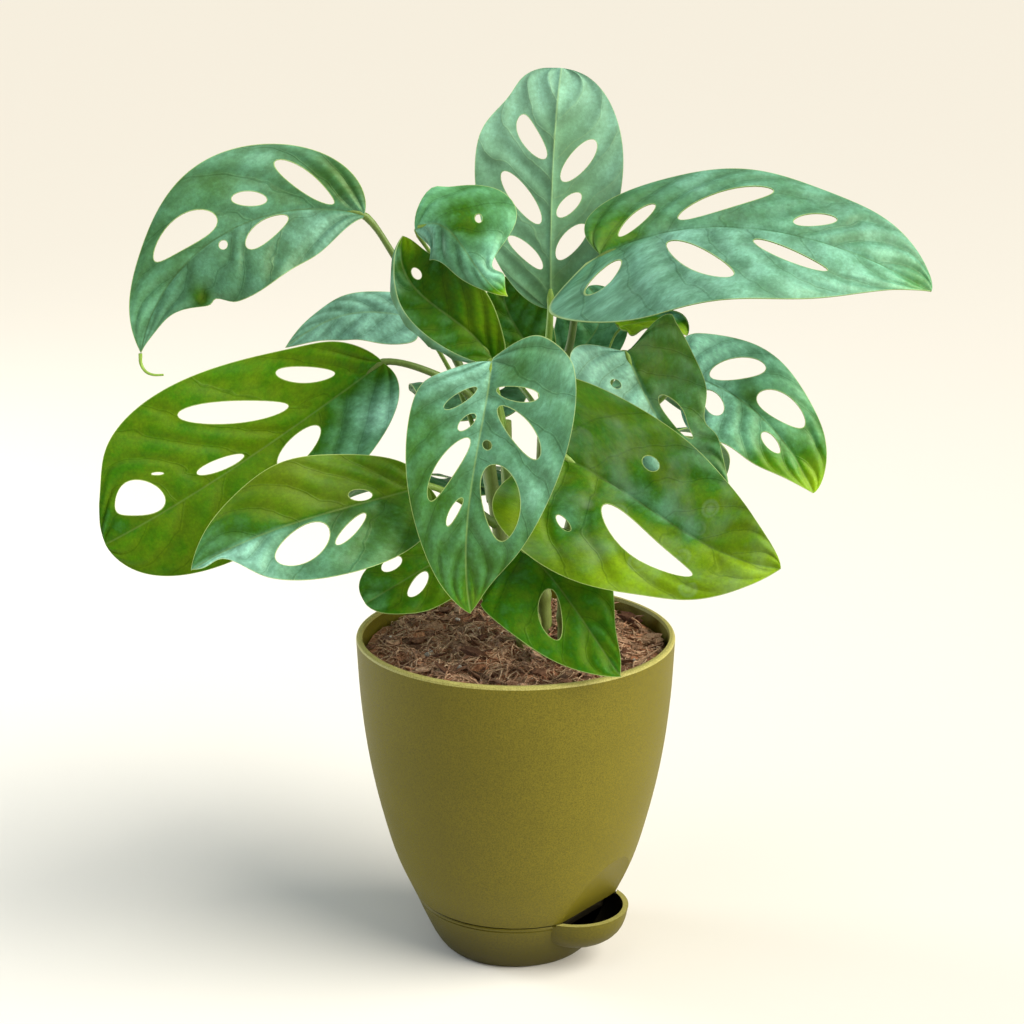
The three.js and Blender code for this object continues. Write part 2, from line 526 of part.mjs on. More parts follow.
// The leaves. rib holds the midrib's places at the petiole, at a third, at two thirds and at the tip; face is
// the way the upper side looks; wide, peak, taper, lobe, lift and curl are for the left and the right half; a
// nick in the margin is [half, u, depth, reach]; petiole is its route from the blade back to its stem's axis; a
// hole is [u1, t1, u2, t2, width].
const leaves = {
  leaf_upper_left: {
    rib: [[-59, 0, 307], [-98, -6, 307], [-129, -14, 288], [-146, -14, 254]], face: [0.1, -0.9, 0.4],
    wide: [27, 30], lift: [10, 10], curl: [-14, -14], peak: [0.48, 0.43], taper: [1.5, 1], lobe: [0.1, 0.1],
    nicks: [[0, 0.66, 3.5, 0.03], [0, 0.8, 4.5, 0.1], [0, 0.14, -5, 0.13], [1, 0.7, 6, 0.22]],
    stem: 'stem_left', petiole: [[-46, 2, 288], [-30, 4, 261], [-13, 2, 228]],
    holes: [[0.1, 0.14, 0.275, 0.74, 7], [0.405, 0.37, 0.305, 0.2, 5.5], [0.47, 0.22, 0.7, 0.6, 11],
            [0.43, -0.36, 0.25, -0.11, 8], [0.51, -0.19, 0.485, -0.09, 3.5]], color: 0x3f7355,
  },
  leaf_top: {
    rib: [[14, 12, 268], [14, 16, 299], [15, 20, 330], [18, 30, 361]], face: [0, 1, 0.1], wide: [28, 31],
    curl: [-8, -8], peak: [0.6, 0.6], taper: [0.42, 0.42], lobe: [0.05, 0.05], nicks: [[1, 0.87, 5, 0.1]],
    stem: 'stem_back', petiole: [[13, 10, 254], [12, 8, 233]],
    holes: [[0.36, 0.16, 0.57, 0.64, 8], [0.63, 0.1, 0.8, 0.56, 7], [0.54, -0.14, 0.72, -0.6, 8],
            [0.39, -0.1, 0.49, -0.42, 6], [0.21, -0.14, 0.36, -0.56, 8], [0.17, 0.18, 0.31, 0.66, 6]],
    color: 0x4d8058,
  },
  leaf_upper_right: {
    rib: [[33, -5, 292], [75, -12, 304], [118, -22, 299], [157, -30, 282]], face: [0, -0.6, 0.8],
    wide: [31, 42], curl: [-14, -14], peak: [0.38, 0.4], taper: [0.55, 1.2], lobe: [0.08, 0.75],
    nicks: [[1, 0.14, 9, 0.13]], stem: 'stem_back', petiole: [[26, -4, 282], [21, 4, 253], [12, 8, 228]],
    holes: [[0.07, -0.2, 0.19, -0.54, 6], [0.24, -0.18, 0.49, -0.68, 9], [0.56, -0.2, 0.67, -0.5, 6],
            [0.47, 0.17, 0.7, 0.5, 6], [0.23, 0.2, 0.48, 0.69, 8], [0.1, 0.5, 0.17, 0.72, 6]],
    color: 0x4b8158,
  },
  leaf_folded: {
    rib: [[-38, -26, 305], [-25, -36, 306], [-15, -44, 294], [-3, -46, 283]], face: [0.2, -0.7, 0.7],
    wide: [25, 13], lift: [25, -40], curl: [-10, -20], peak: [0.45, 0.28], taper: [1.2, 1.3],
    lobe: [0.05, 0.05], nicks: [[0, 0.72, 12, 0.12], [0, 0.12, -3, 0.04]], stem: 'stem_left',
    petiole: [[-31, -14, 291], [-21, -6, 263], [-12, 1, 222]], holes: [[0.43, -0.4, 0.39, -0.5, 2.5]],
    color: 0x4c8045,
  },
  leaf_cupped: {
    rib: [[-9, -34, 257], [-24, -32, 272], [-39, -28, 284], [-43, -22, 302]], face: [0, -1, 0.2],
    wide: [14.5, 18], lift: [10, 10], curl: [10, 10], peak: [0.38, 0.45], taper: [1, 0.5], lobe: [0.1, 0.1],
    nicks: [[0, 0.8, 2, 0.12], [1, 0.12, 4.5, 0.15]], stem: 'stem_front',
    petiole: [[-8, -30, 248], [-4, -22, 225]], holes: [[0.78, 0.25, 0.67, 0.24, 3.5]], color: 0x4f8a2e,
  },
  leaf_left_wide: {
    rib: [[-52, -12, 251], [-91, -20, 224], [-126, -34, 203], [-158, -42, 186]], face: [0, -1, 0.2],
    wide: [32, 40], peak: [0.5, 0.6], taper: [0.5, 0.6], lobe: [0.1, 0.2],
    nicks: [[1, 0.1, -3, 0.1], [1, 0.93, 3.5, 0.07]], stem: 'stem_left',
    petiole: [[-34, -10, 247], [-17, -6, 235], [-12, 0, 212]],
    holes: [[0.13, 0.4, 0.28, 0.74, 5.5], [0.28, 0.27, 0.57, 0.72, 8.5], [0.46, 0.05, 0.61, 0.15, 4.5],
            [0.74, 0.1, 0.9, 0.5, 13], [0.4, -0.32, 0.24, -0.2, 9]], color: 0x4c8a26,
  },
  leaf_left_low: {
    rib: [[-34, -48, 211], [-64, -58, 205], [-93, -68, 198], [-120, -76, 186]], face: [0, -0.9, 0.45],
    wide: [25, 22], peak: [0.4, 0.48], taper: [1, 0.9], lobe: [0.2, 0.15],
    nicks: [[0, 0.86, 7, 0.08], [1, 0.55, -1.5, 0.15]], stem: 'stem_left',
    petiole: [[-23, -36, 203], [-8, -1, 182]],
    holes: [[0.27, 0.06, 0.26, 0.28, 9], [0.43, -0.52, 0.27, -0.18, 4], [0.67, -0.62, 0.43, -0.18, 12]],
    color: 0x4a8a3c,
  },
  leaf_left_small: {
    rib: [[-18, -30, 181], [-31, -36, 177], [-44, -42, 171], [-58, -48, 164]], face: [0, -0.9, 0.45],
    wide: [16, 13], peak: [0.45, 0.6], taper: [0.6, 0.3], lobe: [0.1, 0.1], stem: 'stem_left',
    petiole: [[-12, -18, 174], [-4, -1, 166]],
    holes: [[0.755, 0.64, 0.575, 0.6, 5], [0.69, -0.47, 0.45, -0.1, 5]], color: 0x4c8a2a,
  },
  leaf_front: {
    rib: [[-9, -58, 261], [-13, -64, 236], [-18, -68, 203], [-17, -66, 166]], face: [0, -1, 0.25],
    wide: [33, 27], peak: [0.36, 0.33], taper: [0.8, 0.8], lobe: [0.45, 0],
    nicks: [[0, 0.9, 2.5, 0.1], [0, 0.08, 3, 0.08], [1, 0.05, 5, 0.08]], stem: 'stem_front',
    petiole: [[-9, -50, 254], [-5, -34, 225], [-2, -20, 195]],
    holes: [[0.15, 0.19, 0.27, 0.55, 4.5], [0.27, 0.12, 0.345, 0.3, 4], [0.37, 0.14, 0.61, 0.66, 7],
            [0.59, 0.12, 0.69, 0.38, 3], [0.15, -0.12, 0.235, -0.6, 5], [0.23, -0.16, 0.44, -0.7, 7],
            [0.46, -0.18, 0.73, -0.64, 13], [0.37, -0.06, 0.4, -0.14, 3]], color: 0x3f7d55,
  },
  leaf_right_wide: {
    rib: [[15, -36, 221], [46, -48, 205], [71, -62, 192], [98, -74, 186]], face: [0, -0.9, 0.45],
    wide: [31, 41], peak: [0.25, 0.27], taper: [0.6, 1], lobe: [0.25, 0.25], nicks: [[1, 0.6, 1.5, 0.12]],
    stem: 'stem_front', petiole: [[12, -30, 212], [-2, -19, 184]],
    holes: [[0.25, 0.21, 0.69, 0.56, 10], [0.29, -0.44, 0.35, -0.52, 5], [0.17, 0.55, 0.24, 0.6, 3]],
    color: 0x47803d,
  },
  leaf_over_rim: {
    rib: [[1, -36, 183], [15, -46, 172], [29, -58, 155], [40, -67, 141]], face: [0, -0.9, 0.45],
    wide: [21, 28], peak: [0.4, 0.3], taper: [1.1, 1], lobe: [0.1, 0.3], nicks: [[0, 0.7, 5.5, 0.2]],
    stem: 'stem_front', petiole: [[0, -27, 174], [3, -17, 160]], holes: [[0.35, 0.12, 0.6, 0.6, 7.5]],
    color: 0x3f7d22,
  },
  leaf_right_inner: {
    rib: [[43, -10, 255], [52, -16, 236], [64, -26, 219], [82, -34, 206]], face: [0.2, -0.9, 0.4],
    wide: [25, 26], peak: [0.25, 0.25], taper: [0.7, 0.8], lobe: [0.2, 0.3],
    nicks: [[0, 0.6, 4, 0.1], [0, 0.03, -3, 0.05]], stem: 'stem_right',
    petiole: [[38, 0, 242], [28, -4, 214]],
    holes: [[0.33, -0.2, 0.65, -0.46, 6], [0.21, 0.42, 0.17, 0.32, 4]], color: 0x3d6f4a,
  },
  leaf_right_outer: {
    rib: [[68, 0, 243], [86, -8, 237], [103, -18, 223], [116, -26, 202]], face: [0.2, -0.9, 0.4],
    wide: [23, 23], peak: [0.32, 0.4], taper: [0.6, 1], lobe: [0.2, 0.2],
    nicks: [[0, 0.15, 2.5, 0.15], [1, 0.55, 2.5, 0.15]], stem: 'stem_right',
    petiole: [[58, 6, 232], [42, 4, 216], [23, -3, 186]],
    holes: [[0.15, -0.14, 0.4, -0.74, 8], [0.44, -0.22, 0.7, -0.62, 10], [0.17, 0.22, 0.36, 0.46, 7],
            [0.6, 0.24, 0.74, 0.32, 5]], color: 0x4a8a5c,
  },
  leaf_unfurling: {
    rib: [[42, 26, 258], [51, 26, 260], [62, 22, 261], [69, 18, 256]], face: [0, -0.3, 1], wide: [7, 10],
    stem: 'stem_back', petiole: [[34, 18, 241], [22, 12, 227], [11, 9, 210]], holes: [], color: 0x6da81e,
  },
  leaf_left_inner: {
    rib: [[-41, 8, 265], [-60, 10, 267], [-76, 10, 263], [-92, 8, 253]], face: [0, -0.85, 0.5],
    wide: [13, 9], peak: [0.25, 0.25], taper: [0.9, 0.9], lobe: [0.15, 0.15], stem: 'stem_left',
    petiole: [[-26, 8, 243], [-11, 1, 205]], holes: [], color: 0x4d9060,
  },
  leaf_centre_left: {
    rib: [[11, 22, 243], [2, 26, 255], [-4, 30, 266], [-5, 32, 278]], face: [0, -0.9, 0.4], wide: [10, 15],
    peak: [0.5, 0.5], taper: [0.7, 0.7], stem: 'stem_back', petiole: [[12, 15, 232], [12, 8, 220]],
    holes: [], color: 0x3d6f32,
  },
  leaf_centre_right: {
    rib: [[19, 30, 241], [31, 34, 252], [35, 38, 262], [30, 42, 272]], face: [0, -0.9, 0.4], wide: [18, 13],
    peak: [0.5, 0.4], taper: [0.7, 0.7], stem: 'stem_back', petiole: [[16, 25, 222], [10, 11, 184]],
    holes: [], color: 0x5f9f55,
  },
  leaf_back_left_low: {
    rib: [[-22, 26, 188], [-45, 48, 190], [-68, 66, 182], [-88, 84, 162]], face: [-0.3, 0.55, 0.78],
    wide: [25, 27], stem: 'stem_left', petiole: [[-12, 12, 172], [2, 0, 140]],
    holes: [[0.2, 0.2, 0.36, 0.66, 7], [0.46, 0.2, 0.62, 0.6, 8], [0.24, -0.2, 0.42, -0.66, 7],
            [0.52, -0.18, 0.66, -0.52, 6]], color: 0x468434,
  },
  leaf_back_right_low: {
    rib: [[28, 22, 205], [50, 44, 208], [72, 64, 200], [92, 80, 180]], face: [0.3, 0.55, 0.78],
    wide: [27, 25], stem: 'stem_right', petiole: [[25, 12, 190], [20, -2, 156]],
    holes: [[0.18, 0.2, 0.34, 0.66, 7], [0.44, 0.18, 0.62, 0.6, 8], [0.22, -0.2, 0.4, -0.66, 8],
            [0.5, -0.18, 0.64, -0.52, 6]], color: 0x468440,
  },
  leaf_back_low: {
    rib: [[2, 30, 190], [5, 58, 190], [7, 86, 178], [9, 110, 155]], face: [0, 0.6, 0.8], wide: [26, 26],
    stem: 'stem_back', petiole: [[5, 22, 176], [12, 14, 144]],
    holes: [[0.2, 0.2, 0.36, 0.66, 8], [0.48, 0.2, 0.64, 0.58, 7], [0.2, -0.2, 0.38, -0.66, 7],
            [0.46, -0.2, 0.64, -0.58, 8]], color: 0x458238,
  },
  leaf_back_left: {
    rib: [[-15, 28, 220], [-20, 54, 226], [-27, 80, 220], [-34, 104, 202]], face: [-0.1, 0.45, 0.88],
    wide: [24, 24], stem: 'stem_left', petiole: [[-14, 18, 210], [-10, -1, 192]],
    holes: [[0.22, 0.2, 0.38, 0.64, 7], [0.5, 0.2, 0.66, 0.56, 7], [0.24, -0.2, 0.42, -0.66, 8]],
    color: 0x4a8a44,
  },
  leaf_back_right: {
    rib: [[32, 26, 224], [46, 48, 230], [62, 68, 224], [80, 86, 206]], face: [0.3, 0.4, 0.85],
    wide: [24, 25], stem: 'stem_right', petiole: [[31, 14, 216], [26, -4, 204]],
    holes: [[0.2, 0.2, 0.38, 0.66, 7], [0.48, 0.2, 0.64, 0.56, 6], [0.26, -0.2, 0.44, -0.66, 8]],
    color: 0x4c8c50,
  },
  leaf_back_high: {
    rib: [[0, 42, 234], [-1, 64, 244], [-2, 87, 242], [-3, 108, 226]], face: [0, 0.4, 0.9], wide: [20, 20],
    stem: 'stem_back', petiole: [[9, 27, 222], [11, 10, 192]],
    holes: [[0.22, 0.2, 0.4, 0.66, 7], [0.22, -0.2, 0.4, -0.64, 7], [0.52, -0.2, 0.66, -0.54, 6]],
    color: 0x52935a,
  },
};

// Assembly
const plant = new THREE.Group();
const sleeves = Object.fromEntries(
  Object.entries(stems).map(([name, stem]) => [name, makeStem(stem, STEM_GAP)]),
);

plant.add(toMesh('pot_shell', makeShell(), finish.pot));
plant.add(toMesh('water_tray', makeTray(), finish.pot));
plant.add(toMesh('soil', makeSoil(Object.values(sleeves)), finish.soil));
for (const [name, stem] of Object.entries(stems)) {
  plant.add(toMesh(name, makeStem(stem, 0), finish.stem));
}
for (const [name, leaf] of Object.entries(leaves)) {
  const look = { color: leaf.color, roughness: 0.5, metalness: 0 };
  plant.add(toMesh(name, makeLeaf(leaf, sleeves), look));
}

export default plant;
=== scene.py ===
"""A swiss cheese vine, the small aroid with holed leaves, in an olive self-watering pot.

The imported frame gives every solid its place. Each piece made here stands for the solid of like name and keeps
its form, with finer edges, veins and materials. The tables are in millimetres, and Blender gets metres.
"""

import math
import random

import bpy
import numpy as np
from bpy.props import FloatProperty, FloatVectorProperty, IntProperty, PointerProperty
from mathutils import Matrix, Vector, noise


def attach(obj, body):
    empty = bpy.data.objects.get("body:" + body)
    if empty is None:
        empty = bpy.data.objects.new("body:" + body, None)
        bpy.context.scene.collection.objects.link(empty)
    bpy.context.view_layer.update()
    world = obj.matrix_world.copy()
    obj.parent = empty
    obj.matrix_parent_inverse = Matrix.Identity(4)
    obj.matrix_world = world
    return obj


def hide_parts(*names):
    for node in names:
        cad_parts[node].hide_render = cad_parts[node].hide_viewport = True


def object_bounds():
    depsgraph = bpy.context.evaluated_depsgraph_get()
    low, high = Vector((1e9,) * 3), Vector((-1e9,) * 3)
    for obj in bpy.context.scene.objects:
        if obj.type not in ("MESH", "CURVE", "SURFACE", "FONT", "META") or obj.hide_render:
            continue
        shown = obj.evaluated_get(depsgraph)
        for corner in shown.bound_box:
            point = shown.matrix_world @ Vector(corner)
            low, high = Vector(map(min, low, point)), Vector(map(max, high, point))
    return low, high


bl_info = {
    "name": "Potted swiss cheese vine",
    "version": (1, 0, 0),
    "blender": (4, 5, 0),
    "location": "3D View > Sidebar > Plant",
    "description": "Makes a holed-leaf vine in a self-watering pot, group by group",
    "category": "Add Mesh",
}

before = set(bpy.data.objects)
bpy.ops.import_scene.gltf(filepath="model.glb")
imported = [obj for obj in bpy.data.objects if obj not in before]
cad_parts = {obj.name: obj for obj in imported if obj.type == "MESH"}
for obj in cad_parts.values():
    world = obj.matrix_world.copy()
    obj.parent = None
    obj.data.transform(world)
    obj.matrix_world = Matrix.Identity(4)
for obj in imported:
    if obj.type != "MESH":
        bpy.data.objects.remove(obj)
CAD_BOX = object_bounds()
MM = 0.001
BODY = "root"

# The pot's sizes, as in its solids: [height, radius] up the outside
POT_SIDE = [[0, 30], [1, 31.6], [4, 33.8], [12, 37.9], [23, 42.6], [40, 50], [60, 55.8], [85, 61], [110, 64],
            [135, 65.4]]
POT_HEIGHT = 136
SEAM_HEIGHT = 23
SEAM_GAP = 0.3
GROOVE_HEIGHT = 21.2
SHELL_WALL = 2.6
TRAY_WALL = 2.4
FACET_DISTANCE = 37.8
FACET_LEAN = math.radians(29.7)
CUP_TURN = math.radians(-39)
CUP_CENTRE = 32
CUP_RADIUS = 22
CUP_WALL = 2
CUP_RIM = 24
FLOOR_TOP = 26.6
SOIL_TOP = 129
SOIL_REACH = 61.6
WELL_RADIUS = 15
WELL_WALL = 2
WELL_FOOT = 5
WELL_SIDES = 48

# The loose stuff on the soil: how far out it is strewn, how far out fibres and chips may reach, and the room
# that is left round a stem
STREW_REACH = 58
FIBRE_REACH = 60.6
CHIP_REACH = 62
STEM_ROOM = 4.5

# The radius that a turned shape has at its pole until the pole is merged
POLE = 0.01

# The stems, from inside the soil to their tips, and their radii there
STEMS = {
    "stem_left": {"path": [[6, 1, 96], [3, 0, 134], [-5, -1, 170], [-10, 0, 202], [-13, 2, 232]],
                  "radii": [3.4, 2.4]},
    "stem_front": {"path": [[12, -13, 98], [9, -14, 136], [1, -17, 170], [-3, -20, 202], [-4, -22, 230]],
                   "radii": [3.2, 2.3]},
    "stem_back": {"path": [[13, 15, 96], [12, 14, 136], [10, 12, 172], [11, 9, 207], [12, 8, 238]],
                  "radii": [3.4, 2.5]},
    "stem_right": {"path": [[21, 1, 97], [20, 0, 136], [20, -3, 168], [25, -4, 197], [29, -4, 222]],
                   "radii": [3.1, 2.3]},
}

# The leaves. A place on a blade is u, from 0 at the petiole to 1 at the tip, and t, from -1 at the left
# margin over 0 on the midrib to 1 at the right one, seen on the upper side with the tip up. Pairs are
# [left, right].
#   rib: the midrib's places at the petiole, at a third, at two thirds and at the tip
#   face: the way the upper side looks
#   wide: the widest half width
#   peak and taper: where along the blade it is widest, and how bluntly it ends
#   lobe: how far the margin reaches back beside the petiole
#   lift and curl: the angle of a half at the midrib, and how much it has changed at the margin, in degrees
#   nicks: bites out of the margin, [side, u, depth, reach]
#   wave: the margin's ripple, [height, number of waves, start]
#   petiole: the stalk's places, from the blade back to its stem
#   holes: [u1, t1, u2, t2, width], from end to end
#   slits: holes that only this finer mesh has
#   roll: a rolled margin, [the first t that rolls, radius, angle on the left, angle on the right]
#   drip: the places of a long tip's curled end
#   tone: from bluish at 0 to yellowish at 3, [left base, left tip, right base, right tip]; the bluish
#   end is partly the leaf's own colour and partly a painted sheen of sky light
#   light: painted light and shade, how brightly lit each part is drawn, in the same order
#   patches: tone and painted light added round a place, for painted sheen, highlights and shade,
#   [u, t, reach, tone, light]
#   midrib: from a midrib painted dark, as shade in its crease, at 0 to a pale one at 1
#   stalk: how bright the petiole is
#   veins: the number of side veins in each half
#   marks: how plainly dried water marks show
#   slot: the material of its solid
LEAVES = {
    "leaf_upper_left": {
        "rib": [[-59, 0, 307], [-98, -6, 307], [-129, -14, 288], [-146, -14, 254]],
        "face": [0.1, -0.9, 0.4], "wide": [27, 30], "lift": [10, 10], "curl": [-14, -14],
        "peak": [0.48, 0.43], "taper": [1.5, 1], "lobe": [0.1, 0.1],
        "nicks": [[0, 0.66, 3.5, 0.03], [0, 0.8, 4.5, 0.1], [0, 0.14, -5, 0.13], [1, 0.7, 6, 0.22]],
        "petiole": [[-46, 2, 288], [-30, 4, 261], [-13, 2, 228]],
        "holes": [[0.1, 0.14, 0.275, 0.74, 7], [0.405, 0.37, 0.305, 0.2, 5.5], [0.47, 0.22, 0.7, 0.6, 11],
                  [0.43, -0.36, 0.25, -0.11, 8], [0.51, -0.19, 0.485, -0.09, 3.5]],
        "slot": "leaf_blue_green", "tone": [1, 1.4, 1.35, 1.5], "light": [0.8, 0.85, 0.85, 0.95],
        "midrib": 0.1, "stalk": 0.6, "veins": 6,
        "drip": [[-146, -14, 255], [-146, -14, 251], [-144, -15, 248], [-141, -16, 247], [-137, -16, 247]],
        "patches": [[0.12, -0.5, 15, -0.5, 0.15], [0.35, 0.85, 14, -0.4, 0.05], [0.4, 0.3, 10, -0.4, 0.1],
                    [0.1, 0.6, 12, 0.6, -0.15], [0.42, 0.58, 8, 0.6, -0.15], [0.9, 0, 16, -0.3, 0.4],
                    [0.7, -0.75, 5, 0.9, -0.2]],
    },
    "leaf_top": {
        "rib": [[14, 12, 268], [14, 16, 299], [15, 20, 330], [18, 30, 361]], "face": [0, 1, 0.1],
        "wide": [28, 31], "curl": [-8, -8], "peak": [0.6, 0.6], "taper": [0.42, 0.42], "lobe": [0.05, 0.05],
        "nicks": [[1, 0.87, 5, 0.1]], "petiole": [[13, 10, 254], [12, 8, 233]],
        "holes": [[0.36, 0.16, 0.57, 0.64, 8], [0.63, 0.1, 0.8, 0.56, 7], [0.54, -0.14, 0.72, -0.6, 8],
                  [0.39, -0.1, 0.49, -0.42, 6], [0.21, -0.14, 0.36, -0.56, 8], [0.17, 0.18, 0.31, 0.66, 6]],
        "slot": "leaf_blue_green", "tone": [1.5, 0.3, 1.4, 0.3], "light": [1, 1, 1.1, 1], "midrib": 1,
        "stalk": 1.3, "veins": 6,
        "patches": [[0.07, -0.4, 13, 0.6, 0.1], [0.72, -0.15, 12, 0.7, -0.12], [0.45, -0.3, 12, 0.5, 0],
                    [0.5, 0.8, 12, 0.3, 0]],
    },
    "leaf_upper_right": {
        "rib": [[33, -5, 292], [75, -12, 304], [118, -22, 299], [157, -30, 282]], "face": [0, -0.6, 0.8],
        "wide": [31, 42], "curl": [-14, -14], "peak": [0.38, 0.4], "taper": [0.55, 1.2],
        "lobe": [0.08, 0.75], "nicks": [[1, 0.14, 9, 0.13]],
        "petiole": [[26, -4, 282], [21, 4, 253], [12, 8, 228]],
        "holes": [[0.07, -0.2, 0.19, -0.54, 6], [0.24, -0.18, 0.49, -0.68, 9], [0.56, -0.2, 0.67, -0.5, 6],
                  [0.47, 0.17, 0.7, 0.5, 6], [0.23, 0.2, 0.48, 0.69, 8], [0.1, 0.5, 0.17, 0.72, 6]],
        "slot": "leaf_blue_green", "tone": [1.5, 0.7, 0.8, 0.8], "light": [1.15, 1.15, 1, 1.35],
        "midrib": 0, "stalk": 0.6, "veins": 7, "marks": 0.3,
        "patches": [[0.06, -0.35, 14, 0.8, 0.15], [0.3, -0.8, 10, -0.3, 0.1], [0.85, 0, 14, 0.1, 0.2],
                    [0.25, 0.1, 9, -0.3, 0.1], [0.97, 0.1, 10, 0.9, 0.2]],
    },
    "leaf_folded": {
        "rib": [[-38, -26, 305], [-25, -36, 306], [-15, -44, 294], [-3, -46, 283]],
        "face": [0.2, -0.7, 0.7], "wide": [25, 13], "lift": [25, -40], "curl": [-10, -20],
        "peak": [0.45, 0.28], "taper": [1.2, 1.3], "lobe": [0.05, 0.05],
        "nicks": [[0, 0.72, 12, 0.12], [0, 0.12, -3, 0.04]],
        "petiole": [[-31, -14, 291], [-21, -6, 263], [-12, 1, 222]],
        "holes": [[0.43, -0.4, 0.39, -0.5, 2.5]], "slot": "leaf_mid_green", "tone": [1.3, 1.2, 0.6, 1.9],
        "light": [1.9, 1.5, 1.15, 1.2], "midrib": 0.3, "veins": 5,
        "patches": [[0.75, -0.5, 12, -0.5, -0.1], [0.38, -0.25, 8, 0.9, -0.9], [0.97, 0, 7, 1.3, 0.4],
                    [0.3, -0.8, 12, 0.3, 0]],
    },
    "leaf_cupped": {
        "rib": [[-9, -34, 257], [-24, -32, 272], [-39, -28, 284], [-43, -22, 302]], "face": [0, -1, 0.2],
        "wide": [14.5, 18], "lift": [10, 10], "curl": [10, 10], "peak": [0.38, 0.45], "taper": [1, 0.5],
        "lobe": [0.1, 0.1], "nicks": [[0, 0.8, 2, 0.12], [1, 0.12, 4.5, 0.15]],
        "petiole": [[-8, -30, 248], [-4, -22, 225]], "holes": [[0.78, 0.25, 0.67, 0.24, 3.5]],
        "roll": [0.62, 2.4, 165, 0], "slot": "leaf_yellow_green", "tone": [2.05, 1.95, 2.2, 2.05],
        "light": [0.9, 0.85, 0.95, 0.8], "midrib": 0.5, "veins": 6,
        "patches": [[0.15, -1, 3.5, -1.2, 0.2], [0.3, -1, 3.5, -1.3, 0.2], [0.45, -1, 3.5, -1.3, 0.2],
                    [0.6, -1, 3.5, -1.3, 0.2], [0.75, -1, 3.5, -1.3, 0.2], [0.9, -1, 3.5, -1.2, 0.2],
                    [0.2, 0.7, 9, 0.3, 0.1], [0.98, 0.3, 7, 0.7, 0.4]],
    },
    "leaf_left_wide": {
        "rib": [[-52, -12, 251], [-91, -20, 224], [-126, -34, 203], [-158, -42, 186]], "face": [0, -1, 0.2],
        "wide": [32, 40], "peak": [0.5, 0.6], "taper": [0.5, 0.6], "lobe": [0.1, 0.2],
        "nicks": [[1, 0.1, -3, 0.1], [1, 0.93, 3.5, 0.07]],
        "petiole": [[-34, -10, 247], [-17, -6, 235], [-12, 0, 212]],
        "holes": [[0.13, 0.4, 0.28, 0.74, 5.5], [0.28, 0.27, 0.57, 0.72, 8.5],
                  [0.46, 0.05, 0.61, 0.15, 4.5], [0.74, 0.1, 0.9, 0.5, 13], [0.4, -0.32, 0.24, -0.2, 9]],
        "slits": [[0.7, 0.33, 0.735, 0.4, 1]], "slot": "leaf_yellow_green", "tone": [2.3, 2.35, 2.35, 2.3],
        "light": [0.92, 1, 1.1, 0.8], "midrib": 0.4, "stalk": 0.6, "veins": 7,
        "patches": [[0.1, -0.9, 13, -1.9, 0.55], [0.28, -0.9, 12, -1.2, 0.4], [0.95, 0.6, 12, -0.2, 0.1],
                    [0.4, 0.1, 8, 0.2, -0.2], [0.7, -0.3, 12, 0.1, -0.15]],
    },
    "leaf_left_low": {
        "rib": [[-34, -48, 211], [-64, -58, 205], [-93, -68, 198], [-120, -76, 186]],
        "face": [0, -0.9, 0.45], "wide": [25, 22], "peak": [0.4, 0.48], "taper": [1, 0.9],
        "lobe": [0.2, 0.15], "nicks": [[0, 0.86, 7, 0.08], [1, 0.55, -1.5, 0.15]],
        "petiole": [[-23, -36, 203], [-8, -1, 182]],
        "holes": [[0.27, 0.06, 0.26, 0.28, 9], [0.43, -0.52, 0.27, -0.18, 4],
                  [0.67, -0.62, 0.43, -0.18, 12]], "slot": "leaf_mid_green", "tone": [2.25, 0.3, 2.45, 1.9],
        "light": [0.82, 1.1, 0.85, 0.95], "midrib": 0.4, "veins": 6,
        "patches": [[0.2, -0.6, 12, 0.1, 0.05], [0.8, -0.1, 13, -0.4, 0.1], [0.35, 0.1, 9, 0.2, -0.3],
                    [0.55, 0.8, 16, 0.6, -0.35], [0.75, 0.9, 10, 0.3, -0.2]],
    },
    "leaf_left_small": {
        "rib": [[-18, -30, 181], [-31, -36, 177], [-44, -42, 171], [-58, -48, 164]],
        "face": [0, -0.9, 0.45], "wide": [16, 13], "peak": [0.45, 0.6], "taper": [0.6, 0.3],
        "lobe": [0.1, 0.1], "petiole": [[-12, -18, 174], [-4, -1, 166]],
        "holes": [[0.755, 0.64, 0.575, 0.6, 5], [0.69, -0.47, 0.45, -0.1, 5]], "slot": "leaf_yellow_green",
        "tone": [2.3, 2.2, 2.3, 2.1], "light": [1, 1.05, 1, 1.05], "midrib": 0.4, "veins": 4,
        "patches": [[0.95, 0, 8, -0.3, 0.1]],
    },
    "leaf_front": {
        "rib": [[-9, -58, 261], [-13, -64, 236], [-18, -68, 203], [-17, -66, 166]], "face": [0, -1, 0.25],
        "wide": [33, 27], "peak": [0.36, 0.33], "taper": [0.8, 0.8], "lobe": [0.45, 0],
        "nicks": [[0, 0.9, 2.5, 0.1], [0, 0.08, 3, 0.08], [1, 0.05, 5, 0.08]],
        "petiole": [[-9, -50, 254], [-5, -34, 225], [-2, -20, 195]],
        "holes": [[0.15, 0.19, 0.27, 0.55, 4.5], [0.27, 0.12, 0.345, 0.3, 4], [0.37, 0.14, 0.61, 0.66, 7],
                  [0.59, 0.12, 0.69, 0.38, 3], [0.15, -0.12, 0.235, -0.6, 5], [0.23, -0.16, 0.44, -0.7, 7],
                  [0.46, -0.18, 0.73, -0.64, 13], [0.37, -0.06, 0.4, -0.14, 3]],
        "slot": "leaf_blue_green", "tone": [0.7, 2, 0.4, 2], "light": [1.05, 1.1, 1.15, 1.1], "midrib": 0.9,
        "veins": 7,
        "patches": [[0.35, 0.85, 14, 0.8, 0], [0.6, 0.6, 14, 0.5, 0], [0.08, -0.6, 10, 0.8, -0.05],
                    [0.95, 0, 12, 0.3, 0.1], [0.4, -0.1, 9, -0.2, 0.1], [0.55, -0.75, 12, -0.5, 0.2]],
    },
    "leaf_right_wide": {
